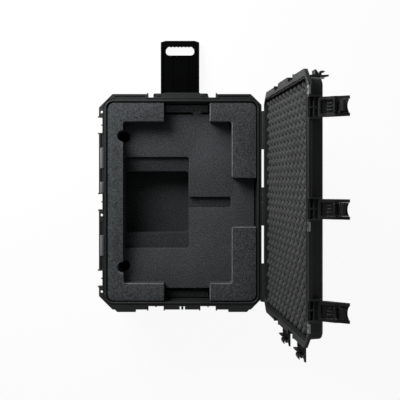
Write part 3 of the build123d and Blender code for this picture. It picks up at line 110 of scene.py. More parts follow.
class Graph:
    """Node graph of one material, with its shader and object-space coordinates."""

    def __init__(self, name: str) -> None:
        """Start a material with an empty graph.

        Args:
            name: The material's name.
        """
        self.material = bpy.data.materials.new(name)
        self.material.use_nodes = True
        self.tree = self.material.node_tree
        self.tree.nodes.clear()
        self.shader = self.add("ShaderNodeBsdfPrincipled")
        output = self.add("ShaderNodeOutputMaterial")
        self.link(self.shader, "BSDF", output, "Surface")
        self.coordinates = self.add("ShaderNodeTexCoord")

    def add(self, kind: str) -> bpy.types.Node:
        """Add a node.

        Args:
            kind: Blender's name of the node type.

        Returns:
            The new node.
        """
        return self.tree.nodes.new(kind)

    def link(self, source: bpy.types.Node, output: str | int, target: bpy.types.Node,
             entry: str | int) -> None:
        """Join an output to an input.

        Args:
            source: Node that gives the value.
            output: Name or place of its output.
            target: Node that takes the value.
            entry: Name or place of its input.
        """
        self.tree.links.new(source.outputs[output], target.inputs[entry])

    def noise(self, scale: float, detail: float = 2.0, stretch: Vector | None = None) -> bpy.types.Node:
        """Add a noise texture in object space.

        Args:
            scale: Features per metre.
            detail: Octaves of the noise.
            stretch: Scale of the coordinates along each axis.

        Returns:
            The texture node.
        """
        texture = self.add("ShaderNodeTexNoise")
        socket(texture, "Scale", scale)
        socket(texture, "Detail", detail)
        if stretch is None:
            self.link(self.coordinates, "Object", texture, "Vector")
            return texture
        mapping = self.add("ShaderNodeMapping")
        socket(mapping, "Scale", stretch)
        self.link(self.coordinates, "Object", mapping, "Vector")
        self.link(mapping, "Vector", texture, "Vector")
        return texture

    def ramp(self, source: bpy.types.Node, output: str, low: float, high: float, dark: Colour,
             light: Colour) -> bpy.types.Node:
        """Turn a value into a colour between two ends.

        Args:
            source: Node that gives the value.
            output: Name of its output.
            low: Value that gives the dark end.
            high: Value that gives the light end.
            dark: Colour of the low end.
            light: Colour of the high end.

        Returns:
            The ramp node.
        """
        ramp = self.add("ShaderNodeValToRGB")
        ramp.color_ramp.elements[0].position = low
        ramp.color_ramp.elements[1].position = high
        ramp.color_ramp.elements[0].color = (*dark, 1.0)
        ramp.color_ramp.elements[1].color = (*light, 1.0)
        self.link(source, output, ramp, "Fac")
        return ramp

    def relief(self, noise: bpy.types.Node, depth: float, under: bpy.types.Node | None = None) -> None:
        """Give the surface a fine relief.

        Args:
            noise: Noise texture that gives the height.
            depth: Height of the relief in metres.
            under: Node whose normal the relief is laid on.
        """
        bump = self.add("ShaderNodeBump")
        socket(bump, "Strength", 1.0)
        socket(bump, "Distance", depth)
        self.link(noise, "Fac", bump, "Height")
        if under is not None:
            self.link(under, "Normal", bump, "Normal")
        self.link(bump, "Normal", self.shader, "Normal")

    def vary_roughness(self, noise: bpy.types.Node, low: float, high: float) -> None:
        """Let the roughness wander between two values.

        Args:
            noise: Noise texture to follow.
            low: Roughness where the noise is lowest.
            high: Roughness where the noise is highest.
        """
        spread = self.add("ShaderNodeMapRange")
        socket(spread, "To Min", low)
        socket(spread, "To Max", high)
        self.link(noise, "Fac", spread, "Value")
        self.link(spread, "Result", self.shader, "Roughness")

    def bevel(self, radius: float) -> bpy.types.Node:
        """Add a normal that rounds sharp edges.

        Args:
            radius: Radius of the rounding in metres.

        Returns:
            The bevel node.
        """
        bevel = self.add("ShaderNodeBevel")
        bevel.samples = BEVEL_SAMPLES
        socket(bevel, "Radius", radius)
        return bevel

    def multiply(self, colour: bpy.types.Node, output: str | int, by: bpy.types.Node) -> bpy.types.Node:
        """Multiply a colour by the colour of a ramp.

        Args:
            colour: Node that gives the colour.
            output: Name or place of its output.
            by: Ramp to multiply by.

        Returns:
            The mix node.
        """
        mixer = self.add("ShaderNodeMix")
        mixer.data_type = "RGBA"
        mixer.blend_type = "MULTIPLY"
        socket(mixer, "Factor", 1.0)
        self.link(colour, output, mixer, MIX_FIRST)
        self.link(by, "Color", mixer, MIX_SECOND)
        return mixer


def shade(colour: Colour, factor: float) -> Colour:
    """Scale a colour.

    Args:
        colour: Linear colour.
        factor: Multiplier.

    Returns:
        The scaled colour.
    """
    return tuple(min(1.0, channel * factor) for channel in colour)


@dataclass(frozen=True)
class MouldedPlastic:
    """Moulded plastic: fine spark-eroded grain, soft mottling, and edges rubbed smooth and made paler,
    partly as wear and partly as a painted highlight.
    """

    name: str
    tone: Tone
    roughness: float = 0.42
    specular: float = 0.5
    grain: float = 1400.0
    grain_depth: float = 0.00006
    edge_radius: float = 0.0012
    # How much paler the edges are: partly wear, partly a painted highlight.
    edge_wear_and_highlight_lift: float = 1.8
    mottle: float = 9.0
    mottle_share: float = 0.14
    scuffs: float = 60.0
    scuff_polish: float = 0.06
    scuff_dulling: float = 0.08

    def build(self) -> bpy.types.Material:
        """Make the material.

        Returns:
            The finished material.
        """
        graph = Graph(self.name)
        base = self.tone.value
        socket(graph.shader, "Specular IOR Level", self.specular)
        mottle = graph.noise(self.mottle, 4.0)
        dark, light = shade(base, 1.0 - self.mottle_share), shade(base, 1.0 + self.mottle_share)
        body = graph.ramp(mottle, "Fac", 0.35, 0.65, dark, light)
        colour = graph.add("ShaderNodeMix")
        colour.data_type = "RGBA"
        graph.link(self.edge_wear_and_highlight_mask(graph), "Color", colour, "Factor")
        graph.link(body, "Color", colour, MIX_FIRST)
        # Paler edges: partly wear, partly a painted highlight.
        colour.inputs[MIX_SECOND].default_value = (*shade(base, self.edge_wear_and_highlight_lift), 1.0)
        graph.link(colour, MIX_RESULT, graph.shader, "Base Color")
        scuffs = graph.noise(self.scuffs, 5.0)
        graph.vary_roughness(scuffs, self.roughness - self.scuff_polish,
                             self.roughness + self.scuff_dulling)
        grain = graph.noise(self.grain, 3.0)
        graph.relief(grain, self.grain_depth, graph.bevel(self.edge_radius))
        return graph.material

    def edge_wear_and_highlight_mask(self, graph: Graph) -> bpy.types.Node:
        """Find the edges that are made paler, partly as rubbed wear and partly as a painted highlight.

        Args:
            graph: The material's graph.

        Returns:
            A ramp that is light along edges.
        """
        facing = graph.add("ShaderNodeNewGeometry")
        match = graph.add("ShaderNodeVectorMath")
        match.operation = "DOT_PRODUCT"
        graph.link(graph.bevel(self.edge_radius), "Normal", match, 0)
        graph.link(facing, "Normal", match, 1)
        return graph.ramp(match, "Value", 0.80, 0.99, WHITE, BLACK)


@dataclass(frozen=True)
class CutFoam:
    """Closed-cell foam: speckled cells, a dry surface and a little unevenness.

    A foam with a relief states its hollows' depth, and painted shade then darkens its hollows.
    """

    name: str
    tone: Tone
    cells: float = 290.0
    cell_depth: float = 0.0006
    speckle: float = 0.55
    hollow: float = 0.0
    hollow_painted_shade_colour: Colour = (0.04, 0.04, 0.04)
    roughness: float = 0.95
    specular: float = 0.15
    clouds: float = 7.0
    cloud_shade: Colour = (0.86, 0.86, 0.86)

    def build(self) -> bpy.types.Material:
        """Make the material.

        Returns:
            The finished material.
        """
        graph = Graph(self.name)
        base = self.tone.value
        socket(graph.shader, "Roughness", self.roughness)
        socket(graph.shader, "Specular IOR Level", self.specular)
        cells = graph.noise(self.cells, 3.0)
        dark, light = shade(base, 1.0 - self.speckle), shade(base, 1.0 + self.speckle)
        speckle = graph.ramp(cells, "Fac", 0.38, 0.66, dark, light)
        clouds = graph.noise(self.clouds, 3.0)
        patches = graph.ramp(clouds, "Fac", 0.35, 0.65, self.cloud_shade, WHITE)
        blend = graph.multiply(speckle, "Color", patches)
        # Painted shade in the hollows of a relief.
        if self.hollow > 0.0:
            blend = graph.multiply(blend, MIX_RESULT, self.hollow_painted_shade(graph))
        graph.link(blend, MIX_RESULT, graph.shader, "Base Color")
        graph.relief(cells, self.cell_depth)
        return graph.material

    def hollow_painted_shade(self, graph: Graph) -> bpy.types.Node:
        """Find the hollows between bumps, where painted shade goes because little light gets in.

        Args:
            graph: The material's graph.

        Returns:
            A ramp that paints shade into the hollows.
        """
        occlusion = graph.add("ShaderNodeAmbientOcclusion")
        occlusion.samples = OCCLUSION_SAMPLES
        socket(occlusion, "Distance", self.hollow)
        return graph.ramp(occlusion, "AO", 0.55, 0.98, self.hollow_painted_shade_colour, WHITE)


@dataclass(frozen=True)
class Rubber:
    """Matt rubber with a dusty bloom."""

    name: str
    tone: Tone = Tone.RUBBER_BLACK
    roughness: float = 0.72
    bloom: float = 45.0
    grain: float = 1800.0
    grain_depth: float = 0.00005

    def build(self) -> bpy.types.Material:
        """Make the material.

        Returns:
            The finished material.
        """
        graph = Graph(self.name)
        base = self.tone.value
        socket(graph.shader, "Roughness", self.roughness)
        bloom = graph.noise(self.bloom, 4.0)
        dust = graph.ramp(bloom, "Fac", 0.4, 0.7, shade(base, 0.8), shade(base, 1.7))
        graph.link(dust, "Color", graph.shader, "Base Color")
        graph.relief(graph.noise(self.grain), self.grain_depth)
        return graph.material


@dataclass(frozen=True)
class Steel:
    """Brushed steel with fine scratches along Y."""

    name: str
    tone: Tone = Tone.STEEL
    roughness: float = 0.32
    scratches: float = 700.0
    scratch_depth: float = 0.00002
    along_y: float = 0.06
    polish: float = 0.06
    dulling: float = 0.10

    def build(self) -> bpy.types.Material:
        """Make the material.

        Returns:
            The finished material.
        """
        graph = Graph(self.name)
        base = self.tone.value
        socket(graph.shader, "Metallic", 1.0)
        scratches = graph.noise(self.scratches, 3.0, Vector((1.0, self.along_y, 1.0)))
        colour = graph.ramp(scratches, "Fac", 0.3, 0.7, shade(base, 0.85), shade(base, 1.1))
        graph.link(colour, "Color", graph.shader, "Base Color")
        graph.vary_roughness(scratches, self.roughness - self.polish, self.roughness + self.dulling)
        graph.relief(scratches, self.scratch_depth)
        return graph.material


Finish = MouldedPlastic | CutFoam | Rubber | Steel


def arc(centre: Point, radius: float, start: float, end: float, steps: int = 6) -> list[Point]:
    """Points along a circular arc.

    Args:
        centre: Middle of the circle.
        radius: Its radius.
        start: First angle in degrees.
        end: Last angle in degrees.
        steps: Spans between points.

    Returns:
        The points from start to end.
    """
    angles = [math.radians(start + (end - start) * k / steps) for k in range(steps + 1)]
    return [(centre[0] + radius * math.cos(a), centre[1] + radius * math.sin(a)) for a in angles]


def rounded_rectangle(x0: float, x1: float, y0: float, y1: float, radius: float) -> list[Point]:
    """Anticlockwise rectangle with round corners.

    Args:
        x0: Lowest X.
        x1: Highest X.
        y0: Lowest Y.
        y1: Highest Y.
        radius: Corner radius.

    Returns:
        The outline's points.
    """
    centres = ((x1 - radius, y0 + radius), (x1 - radius, y1 - radius),
               (x0 + radius, y1 - radius), (x0 + radius, y0 + radius))
    points: list[Point] = []
    for quarter, centre in enumerate(centres):
        points += arc(centre, radius, -90.0 + 90.0 * quarter, 90.0 * quarter)
    return points


def softened(corners: Sequence[tuple[float, float, float]]) -> list[Point]:
    """Round each corner of a polygon by its own radius.

    Args:
        corners: X, Y and radius of each corner in order.

    Returns:
        The outline's points.
    """
    points: list[Point] = []
    for k, (x, y, radius) in enumerate(corners):
        here = Vector((x, y))
        before = (Vector(corners[k - 1][:2]) - here).normalized()
        after = (Vector(corners[(k + 1) % len(corners)][:2]) - here).normalized()
        if radius <= 0.0:
            points.append((x, y))
            continue
        half = before.angle(after) / 2
        reach = radius / math.tan(half)
        start, end = here + before * reach, here + after * reach
        middle = here + (before + after).normalized() * (radius / math.sin(half))
        a0 = math.atan2(start.y - middle.y, start.x - middle.x)
        a1 = math.atan2(end.y - middle.y, end.x - middle.x)
        turn = (a1 - a0 + math.pi) % (2 * math.pi) - math.pi
        points += arc(tuple(middle), radius, math.degrees(a0), math.degrees(a0 + turn), CORNER_STEPS)
    return points


def inset(points: Sequence[Point], distance: float) -> list[Point]:
    """Move a closed outline to its left by a distance.

    Args:
        points: Outline, anticlockwise round material or clockwise round a hole.
        distance: How far each edge moves into the material.

    Returns:
        The moved outline, point for point.
    """
    moved: list[Point] = []
    for k, point in enumerate(points):
        here = Vector(point)
        before = (here - Vector(points[k - 1])).normalized()
        after = (Vector(points[(k + 1) % len(points)]) - here).normalized()
        normal = Vector((-before.y - after.y, before.x + after.x)).normalized()
        lean = max(SHARPEST_LEAN, normal.dot(Vector((-before.y, before.x))))
        moved.append(tuple(here + normal * (distance / lean)))
    return moved


def link_mesh(name: str, bm: bmesh.types.BMesh, smooth_deg: float = 40.0) -> bpy.types.Object:
    """Turn a bmesh into a smooth-shaded object in the scene.

    Args:
        name: Name of the object.
        bm: Geometry, freed here.
        smooth_deg: Edges sharper than this stay sharp.

    Returns:
        The new object.
    """
    bmesh.ops.recalc_face_normals(bm, faces=bm.faces)
    mesh = bpy.data.meshes.new(name)
    bm.to_mesh(mesh)
    bm.free()
    mesh.polygons.foreach_set("use_smooth", [True] * len(mesh.polygons))
    mesh.set_sharp_from_angle(angle=math.radians(smooth_deg))
    piece = bpy.data.objects.new(name, mesh)
    bpy.context.scene.collection.objects.link(piece)
    return piece


def slab_mesh(bm: bmesh.types.BMesh, outlines: Sequence[Sequence[Point]], low: float, high: float,
              edge: float) -> None:
    """Add a flat slab with holes and rounded top and bottom edges.

    Args:
        bm: Geometry to add to.
        outlines: Outer outline anticlockwise, then any holes clockwise.
        low: Lowest Z.
        high: Highest Z.
        edge: Radius of the rounded edges.
    """
    quarter = [math.radians(a) for a in EDGE_STEPS_DEG]
    profile = [(edge * (1 - math.sin(a)), high - edge * (1 - math.cos(a))) for a in quarter]
    profile += [(edge * (1 - math.sin(a)), low + edge * (1 - math.cos(a))) for a in reversed(quarter)]
    caps: list[list[bmesh.types.BMEdge]] = [[], []]
    for outline in outlines:
        rings = []
        for shrink, z in sorted(profile, key=lambda step: -step[1]):
            rings.append([bm.verts.new((x, y, z)) for x, y in inset(outline, shrink)])
        count = len(outline)
        for upper, lower in zip(rings, rings[1:]):
            for k in range(count):
                bm.faces.new((upper[k], upper[(k + 1) % count], lower[(k + 1) % count], lower[k]))
        for cap, ring in zip(caps, (rings[0], rings[-1])):
            cap += [bm.edges.get((ring[k], ring[(k + 1) % count])) for k in range(count)]
    for cap in caps:
        bmesh.ops.triangle_fill(bm, use_beauty=True, use_dissolve=False, edges=cap)


@dataclass
class Dresser:
    """Puts finishes on the CAD nodes that show as they are."""

    finishes: dict[str, bpy.types.Material] = field(default_factory=dict)

    def material(self, finish: Finish) -> bpy.types.Material:
        """Build a finish once.

        Args:
            finish: The wanted finish.

        Returns:
            Its material.
        """
        if finish.name not in self.finishes:
            self.finishes[finish.name] = finish.build()
        return self.finishes[finish.name]

    def wear(self, piece: bpy.types.Object, finish: Finish) -> None:
        """Give one object a finish.

        Args:
            piece: The object.
            finish: The finish it gets.
        """
        piece.data.materials.clear()
        piece.data.materials.append(self.material(finish))

    def dress_frame(self, nodes: dict[str, bpy.types.Object]) -> None:
        """Give every CAD node its finish by what it is.

        Args:
            nodes: CAD nodes by name.
        """
        # The shell's and latches' edges get a strong lift: partly wear, partly a painted highlight.
        shell = MouldedPlastic("moulded_shell", Tone.SHELL_BLACK, specular=0.4, edge_wear_and_highlight_lift=3.0)
        latch = MouldedPlastic("moulded_latch", Tone.LATCH_BLACK, roughness=0.30, edge_wear_and_highlight_lift=4.0)
        handle = MouldedPlastic("moulded_handle", Tone.HANDLE_BLACK, roughness=0.6, specular=0.02)
        wheel = MouldedPlastic("moulded_wheel", Tone.WHEEL_BLACK, roughness=0.5)
        rubber = Rubber("moulded_rubber")
        steel = Steel("brushed_steel")
        rules: list[tuple[str, Finish]] = [
            ("pins", steel), ("_pin", steel), ("screws", steel), ("axles", steel),
            ("plates", steel), ("tyre", rubber), ("grip", rubber), ("seal", rubber),
            ("hub", wheel), ("lever", latch), ("trigger", latch), ("housing", shell),
            ("channel", shell), ("handle", handle), ("valve", latch),
        ]
        for name, node in nodes.items():
            finish = next((f for word, f in rules if word in name), shell)
            self.wear(node, finish)
            log.info("%s dressed as %s", name, finish.name)


@dataclass
class FoamNest:
    """Cut foam of the base: four layers and two loose strips."""

    dresser: Dresser
    edge: float = 0.0022
    corner: float = 0.009
    pocket_x: Point = (-0.2185, 0.1850)
    pocket_y: Point = (-0.3025, 0.2972)
    side_notch_y: Point = (-0.0933, 0.0880)
    end_notch_x: Point = (-0.0665, 0.1035)
    finger_radius: float = 0.0207
    finger_x: float = -0.2190
    finger_y: float = 0.2435
    stand_x1: float = 0.0260
    stand_y: Point = (-0.1770, 0.1675)
    channel_y: Point = (-0.0236, 0.0162)
    channel_corner: float = 0.008
    foot_x: Point = (-0.2135, 0.0240)
    foot_y: Point = (-0.1195, 0.1130)
    well_y: float = 0.3290
    tab_x: Point = (0.0365, 0.0775)
    tab_slope: float = 0.0055
    tab_out: float = 0.0085
    tab_corner: float = 0.004
    play: float = 0.0006
    tub_corner: float = 0.023
    flat: float = 0.99

    def outer(self, node: str) -> tuple[float, float, float]:
        """Size of a layer that fits the tub where a CAD layer lies.

        Args:
            node: Name of the CAD layer.

        Returns:
            Half width, half length and corner radius.
        """
        _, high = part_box(node)
        return high.x - self.play, high.y - self.play, self.tub_corner

    def add(self, name: str, node: str, slabs: Sequence[Sequence[Sequence[Point]]],
            tone: Tone, edge_highlights: bool = False) -> None:
        """Build one layer from flat outlines and put it in the nest.

        Args:
            name: Name of the new piece.
            node: CAD node that it stands for.
            slabs: Sets of outlines, each an outer one and its holes.
            tone: Colour of the foam.
            edge_highlights: Whether the pocket's upper edges get a painted highlight, brightest where
                they face the key lamp.
        """
        low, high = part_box(node)
        bm = bmesh.new()
        for outlines in slabs:
            slab_mesh(bm, outlines, low.z, high.z, self.edge)
        piece = link_mesh(name, bm)
        self.dresser.wear(piece, CutFoam(f"foam_{tone.name.lower()}", tone))
        if edge_highlights:
            self.paint_edge_highlights(piece, high)
        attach(piece, "base")
        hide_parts(node)
        log.info("%s stands for %s", name, node)

    def paint_edge_highlights(self, piece: bpy.types.Object, high: Vector) -> None:
        """Paint a highlight on the rounded upper edges of a pocket.

        The painted highlight is brightest where an edge faces -X, and on the wheel end's half where it
        faces +Y, towards the key lamp; the other upper edges get a dimmer one.

        Args:
            piece: A layer of the nest.
            high: Highest corner of the layer's room.
        """
        pale, dim = len(piece.data.materials), len(piece.data.materials) + 1
        for name, tone in (("foam_edge_highlight", Tone.EDGE_HIGHLIGHT), ("foam_edge_highlight_dim", Tone.EDGE_HIGHLIGHT_DIM)):
            piece.data.materials.append(self.dresser.material(CutFoam(name, tone)))
        for face in piece.data.polygons:
            middle, normal = face.center, face.normal
            inner = abs(middle.x) < high.x - self.corner and abs(middle.y) < high.y - self.corner
            if inner and middle.z > high.z - self.edge and normal.z < self.flat:
                # Edges facing the key lamp get the bright painted highlight, the rest the dim one.
                faces_key_lamp_x = normal.x < -abs(normal.y)
                faces_key_lamp_y = middle.y < 0 and normal.y > abs(normal.x)
                face.material_index = pale if faces_key_lamp_x or faces_key_lamp_y else dim

    def finger_arc(self, x: float, y: float, start: float, end: float) -> list[Point]:
        """Round bite that a finger hole takes out of an edge.

        Args:
            x: Middle of the hole.
            y: Middle of the hole.
            start: First angle in degrees.
            end: Last angle in degrees.

        Returns:
            Points along the hole.
        """
        return arc((x, y), self.finger_radius, start, end, BITE_STEPS)

    def latch_side(self, half_x: float, half_y: float, radius: float) -> list[Point]:
        """Outline of the top layer's C-shaped piece on the latch side.

        Args:
            half_x: Half the nest's width.
            half_y: Half the nest's length.
            radius: Radius of the nest's corners.

        Returns:
            The outline's points, anticlockwise.
        """
        x0 = self.end_notch_x[0]
        px, (py0, py1) = self.pocket_x[0], self.pocket_y
        reach = math.degrees(math.acos((px - self.finger_x) / self.finger_radius))
        outline = softened([(x0, half_y, self.edge), (-half_x, half_y, radius),
                            (-half_x, -half_y, radius), (x0, -half_y, self.edge),
                            (x0, py0, self.edge), (px, py0, self.corner)])
        outline += self.finger_arc(self.finger_x, -self.finger_y, -reach, reach - 360.0)
        outline += self.finger_arc(self.finger_x, self.finger_y, -reach, reach - 360.0)
        outline += softened([(px, py1 - 2 * self.corner, 0.0), (px, py1, self.corner),
                             (x0, py1, self.edge), (x0, py1 + 2 * self.corner, 0.0)])[1:-1]
        return outline

    def hinge_side(self, half_x: float, half_y: float, radius: float, end: int) -> list[Point]:
        """Outline of one of the top layer's corner pieces on the hinge side.

        Args:
            half_x: Half the nest's width.
            half_y: Half the nest's length.
            radius: Radius of the nest's corners.
            end: 1 at the pull-handle end, -1 at the wheel end.

        Returns:
            The outline's points, anticlockwise.
        """
        x0, px = self.end_notch_x[1], self.pocket_x[1]
        pocket = self.pocket_y[1] if end > 0 else self.pocket_y[0]
        notch = self.side_notch_y[1] if end > 0 else self.side_notch_y[0]
        corners = [(half_x, notch, self.edge), (half_x, end * half_y, radius),
                   (x0, end * half_y, self.edge), (x0, pocket, self.edge),
                   (px, pocket, self.corner), (px, notch, self.corner)]
        return softened(corners if end > 0 else corners[::-1])

    def build(self) -> None:
        """Build every layer and strip."""
        self.top_layer()
        self.stand_layers()
        self.strips()

    def top_layer(self) -> None:
        """Three pieces round the monitor's pocket."""
        half_x, half_y, radius = self.outer("foam_top")
        slabs = [[self.latch_side(half_x, half_y, radius)]]
        slabs += [[self.hinge_side(half_x, half_y, radius, end)] for end in (1, -1)]
        # The pocket's upper edges get a painted highlight.
        self.add("nest_top", "foam_top", slabs, Tone.NEST_GREY, edge_highlights=True)

    def holes(self) -> list[list[Point]]:
        """Outline the finger holes.

        Returns:
            Their points, clockwise.
        """
        step = 360.0 / HOLE_SIDES
        return [arc((self.finger_x, end * self.finger_y), self.finger_radius, 360.0, step,
                    HOLE_SIDES - 1) for end in (1, -1)]

    def layer_outline(self, half_x: float, half_y: float, radius: float) -> list[Point]:
        """Outer outline of a lower layer with a well at each end.

        Args:
            half_x: Half the layer's width.
            half_y: Half the layer's length.
            radius: Radius of its corners.

        Returns:
            The outline's points, anticlockwise.
        """
        x0, x1 = self.end_notch_x
        well, soft = self.well_y, self.edge
        return softened([
            (-half_x, half_y, radius), (-half_x, -half_y, radius), (x0, -half_y, soft),
            (x0, -well, soft), (x1, -well, soft), (x1, -half_y, soft), (half_x, -half_y, radius),
            (half_x, half_y, radius), (x1, half_y, soft), (x1, well, soft), (x0, well, soft),
            (x0, half_y, soft)])

    def stand_layers(self) -> None:
        """Layers under the monitor: stand pocket, foot pocket and floor pad."""
        half_x, half_y, radius = self.outer("foam_middle")
        outer = self.layer_outline(half_x, half_y, radius)
        px, (py0, py1), (cy0, cy1) = self.pocket_x, self.stand_y, self.channel_y
        stand = softened([
            (px[0], py1, self.corner), (self.stand_x1, py1, self.corner),
            (self.stand_x1, cy1, self.edge), (px[1], cy1, self.channel_corner),
            (px[1], cy0, self.channel_corner),
            (self.stand_x1, cy0, self.edge), (self.stand_x1, py0, self.corner),
            (px[0], py0, self.corner)])
        self.add("nest_middle", "foam_middle", [[outer, stand, *self.holes()]], Tone.NEST_GREY)
        half_x, half_y, radius = self.outer("foam_lower")
        outer = self.layer_outline(half_x, half_y, radius)
        foot = rounded_rectangle(*self.foot_x, *self.foot_y, self.corner)[::-1]
        self.add("nest_lower", "foam_lower", [[outer, foot, *self.holes()]], Tone.STAND_GREY)
        half_x, half_y, radius = self.outer("foam_pad")
        pad = rounded_rectangle(-half_x, half_x, -half_y, half_y, radius)
        self.add("nest_pad", "foam_pad", [[pad]], Tone.WELL_BLACK)

    def strips(self) -> None:
        """Loose strips with a finger tab in the end wells."""
        (tab_x0, tab_x1), slope, soft = self.tab_x, self.tab_slope, self.tab_corner
        # The handle-end strip's lighter tone is painted light against the wall's shade in its well.
        for end, node, tone in ((1, "foam_strip_handle_end", Tone.STRIP_PAINTED_LIGHT),
                                (-1, "foam_strip_wheel_end", Tone.STRIP_BLACK)):
            low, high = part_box(node)
            inner, outer = (low.y, high.y) if end > 0 else (high.y, low.y)
            ledge = inner + end * self.tab_out
            corners = [(low.x, ledge, self.edge), (tab_x0, ledge, soft),
                       (tab_x0 + slope, inner, soft), (tab_x1 - slope, inner, soft),
                       (tab_x1, ledge, soft), (high.x, ledge, self.edge),
                       (high.x, outer, self.edge), (low.x, outer, self.edge)]
            outline = softened(corners if end > 0 else corners[::-1])
            self.add(node.replace("foam", "nest"), node, [[outline]], tone)


@dataclass
class LidFoam:
    """Convoluted foam sheet in the lid."""

    dresser: Dresser
    hinge: Vector
    open_angle: float
    pitch: float = 0.048
    bump: float = 0.022
    step: float = 0.0035
    roundness: float = 0.65
    smooth_deg: float = 60.0

    def closed_height(self, x: float, y: float) -> float:
        """How far the convoluted face stands out at a point.

        Args:
            x: Place across the lid.
            y: Place along the lid.

        Returns:
            Height between 0 in a hollow and the bump's height.
        """
        wave = math.cos(2 * math.pi * x / self.pitch) * math.cos(2 * math.pi * y / self.pitch)
        swell = (wave + 1.0) / 2.0
        return self.bump * swell ** self.roundness

    def shut_room(self, node: bpy.types.Object, shut: Matrix) -> tuple[Vector, Vector]:
        """Room that the CAD sheet takes when the lid is shut.

        Args:
            node: The CAD sheet, in the open lid.
            shut: Turn from the open to the shut lid.

        Returns:
            Its lowest and highest corners.
        """
        places = [shut @ node.matrix_world @ vertex.co for vertex in node.data.vertices]
        return (Vector([min(p[k] for p in places) for k in range(3)]),
                Vector([max(p[k] for p in places) for k in range(3)]))

    def build(self, node: bpy.types.Object) -> None:
        """Build the sheet in the shut lid and swing it open.

        Args:
            node: The CAD sheet that it stands for.
        """
        place = Matrix.Translation(self.hinge)
        swing = place @ Matrix.Rotation(self.open_angle, 4, "Y") @ place.inverted()
        room_low, room_high = self.shut_room(node, swing.inverted())
        half_x, half_y, top = room_high.x, room_high.y, room_high.z
        columns = round(2 * half_x / self.step)
        rows = round(2 * half_y / self.step)
        low = room_low.z + self.bump
        bm = bmesh.new()
        grid = []
        for i in range(columns + 1):
            x = -half_x + 2 * half_x * i / columns
            line = []
            for j in range(rows + 1):
                y = -half_y + 2 * half_y * j / rows
                line.append(bm.verts.new((x, y, low - self.closed_height(x, y))))
            grid.append(line)
        for i in range(columns):
            for j in range(rows):
                bm.faces.new((grid[i][j], grid[i + 1][j], grid[i + 1][j + 1], grid[i][j + 1]))
        rim = [e for e in bm.edges if e.is_boundary]
        skirt = bmesh.ops.extrude_edge_only(bm, edges=rim)["geom"]
        back = [v for v in skirt if isinstance(v, bmesh.types.BMVert)]
        for vertex in back:
            vertex.co.z = top
        bmesh.ops.contextual_create(bm, geom=[e for e in bm.edges if e.is_boundary])
        piece = link_mesh("lid_foam_sheet", bm, self.smooth_deg)
        piece.data.transform(swing)
        # The convoluted foam gets painted shade in its hollows, as deep as the bumps.
        self.dresser.wear(piece, CutFoam("foam_convoluted", Tone.LID_GREY, speckle=0.30,
                                         hollow=self.bump))
        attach(piece, "lid")
        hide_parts("lid_foam")
        log.info("lid foam sheet has %d by %d cells", columns, rows)


@dataclass
class FlangeHighlights:
    """Thin pale sheets on the front flange, above the carry handles: a painted highlight."""

    dresser: Dresser
    across: Point = (-0.3030, -0.2896)
    spans: tuple[Point, ...] = ((0.033, 0.073), (0.124, 0.200), (-0.200, -0.124))
    thickness: float = 0.0002

    def build(self, rim: float) -> None:
        """Lay the painted highlights on the flange.

        Args:
            rim: Z of the flange's upper face.
        """
        bm = bmesh.new()
        for y0, y1 in self.spans:
            outline = rounded_rectangle(*self.across, y0, y1, 4 * self.thickness)
            slab_mesh(bm, [outline], rim, rim + self.thickness, self.thickness / 2)
        highlights = link_mesh("flange_highlights", bm)
        self.dresser.wear(highlights, MouldedPlastic("flange_highlight", Tone.FLANGE_HIGHLIGHT, roughness=0.3))
        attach(highlights, "base")
        log.info("%d flange lands laid", len(self.spans))


@dataclass(frozen=True)
class Lamp:
    """Square soft lamp: its place in metres, the side of its face and its power in watts."""

    name: str
    place: tuple[float, float, float]
    size: float
    power: float

    def hang(self, aim: Vector) -> None:
        """Hang the lamp.

        Args:
            aim: Point that it faces.
        """
        light = bpy.data.lights.new(self.name, "AREA")
        light.size = self.size
        light.energy = self.power
        lamp = bpy.data.objects.new(self.name, light)
        lamp.location = self.place
        lamp.rotation_euler = (aim - Vector(self.place)).to_track_quat("-Z", "Y").to_euler()
        bpy.context.scene.collection.objects.link(lamp)


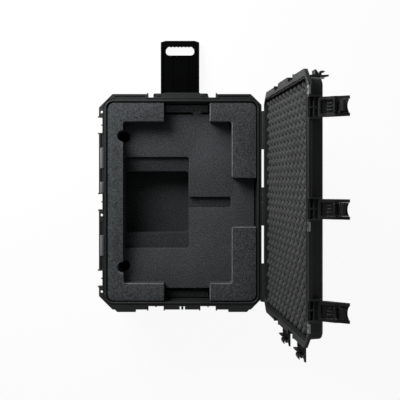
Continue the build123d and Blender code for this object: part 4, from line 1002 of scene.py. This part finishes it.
@dataclass
class Studio:
    """Pale floor, soft lamps and the camera above the case."""

    eye: tuple[float, float, float] = (0.011, 0.081, 2.661)
    lens: float = 58.95
    sensor: float = 36.0
    shift: Point = (0.0375, -0.0502)
    lamps: tuple[Lamp, ...] = (Lamp("key_softbox", (-1.1, 1.4, 1.2), 1.2, 58.0),
                               Lamp("side_softbox", (2.2, -1.2, 1.6), 1.6, 6.0))
    aim_z: float = 0.2
    sky: float = 0.16
    floor_half: float = 3.0
    floor_z: float = -0.0005
    floor_white: float = 0.92
    floor_roughness: float = 0.9
    floor_glow: float = 0.93

    def floor(self) -> None:
        """Lay the floor: mostly a glow to the camera, so that it is white but keeps a shadow."""
        bm = bmesh.new()
        bmesh.ops.create_grid(bm, x_segments=8, y_segments=8, size=self.floor_half)
        floor = link_mesh("studio_floor", bm)
        floor.location.z = self.floor_z
        graph = Graph("studio_white")
        socket(graph.shader, "Base Color", (*[self.floor_white] * 3, 1.0))
        socket(graph.shader, "Roughness", self.floor_roughness)
        socket(graph.shader, "Specular IOR Level", 0.0)
        glow = graph.add("ShaderNodeEmission")
        socket(glow, "Strength", 1.0)
        mixer = graph.add("ShaderNodeMixShader")
        path = graph.add("ShaderNodeLightPath")
        share = graph.add("ShaderNodeMath")
        share.operation = "MULTIPLY"
        share.inputs[1].default_value = self.floor_glow
        graph.link(path, "Is Camera Ray", share, 0)
        graph.link(share, "Value", mixer, 0)
        graph.link(graph.shader, "BSDF", mixer, 1)
        graph.link(glow, "Emission", mixer, 2)
        output = next(n for n in graph.tree.nodes if n.type == "OUTPUT_MATERIAL")
        graph.link(mixer, "Shader", output, "Surface")
        floor.data.materials.append(graph.material)

    def lights(self) -> None:
        """Hang the lamps and the sky."""
        for lamp in self.lamps:
            lamp.hang(Vector((0.0, 0.0, self.aim_z)))
        world = bpy.data.worlds.new("studio_sky")
        world.use_nodes = True
        sky = world.node_tree.nodes["Background"]
        socket(sky, "Color", (*WHITE, 1.0))
        socket(sky, "Strength", self.sky)
        bpy.context.scene.world = world

    def camera(self) -> None:
        """Place the camera straight above the case."""
        lens = bpy.data.cameras.new("photo_camera")
        lens.sensor_fit = "HORIZONTAL"
        lens.sensor_width = self.sensor
        lens.lens = self.lens
        lens.shift_x, lens.shift_y = self.shift
        camera = bpy.data.objects.new("photo_camera", lens)
        camera.location = self.eye
        bpy.context.scene.collection.objects.link(camera)
        bpy.context.scene.camera = camera

    def build(self) -> None:
        """Set up the whole studio."""
        bpy.context.scene.view_settings.view_transform = "Standard"
        self.floor()
        self.lights()
        self.camera()
        log.info("studio ready")


def joint(name: str) -> dict:
    """Find a joint of the frame.

    Args:
        name: Its name.

    Returns:
        The joint's entry in the record.
    """
    return next(entry for entry in frame["joints"] if entry["name"] == name)


def main() -> None:
    """Dress the frame, build the soft pieces and set the studio."""
    logging.basicConfig(level=logging.INFO, format="%(message)s")
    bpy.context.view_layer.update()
    dresser = Dresser()
    dresser.dress_frame(frame["nodes"])
    FoamNest(dresser).build()
    hinge = joint("lid_hinge")
    angle = math.radians(-hinge["range_deg"][0])
    LidFoam(dresser, Vector(hinge["pos_m"]), angle).build(frame["nodes"]["lid_foam"])
    # Painted highlights on the front flange.
    FlangeHighlights(dresser).build(hinge["pos_m"][2])
    Studio().build()


if __name__ == "__main__":
    main()
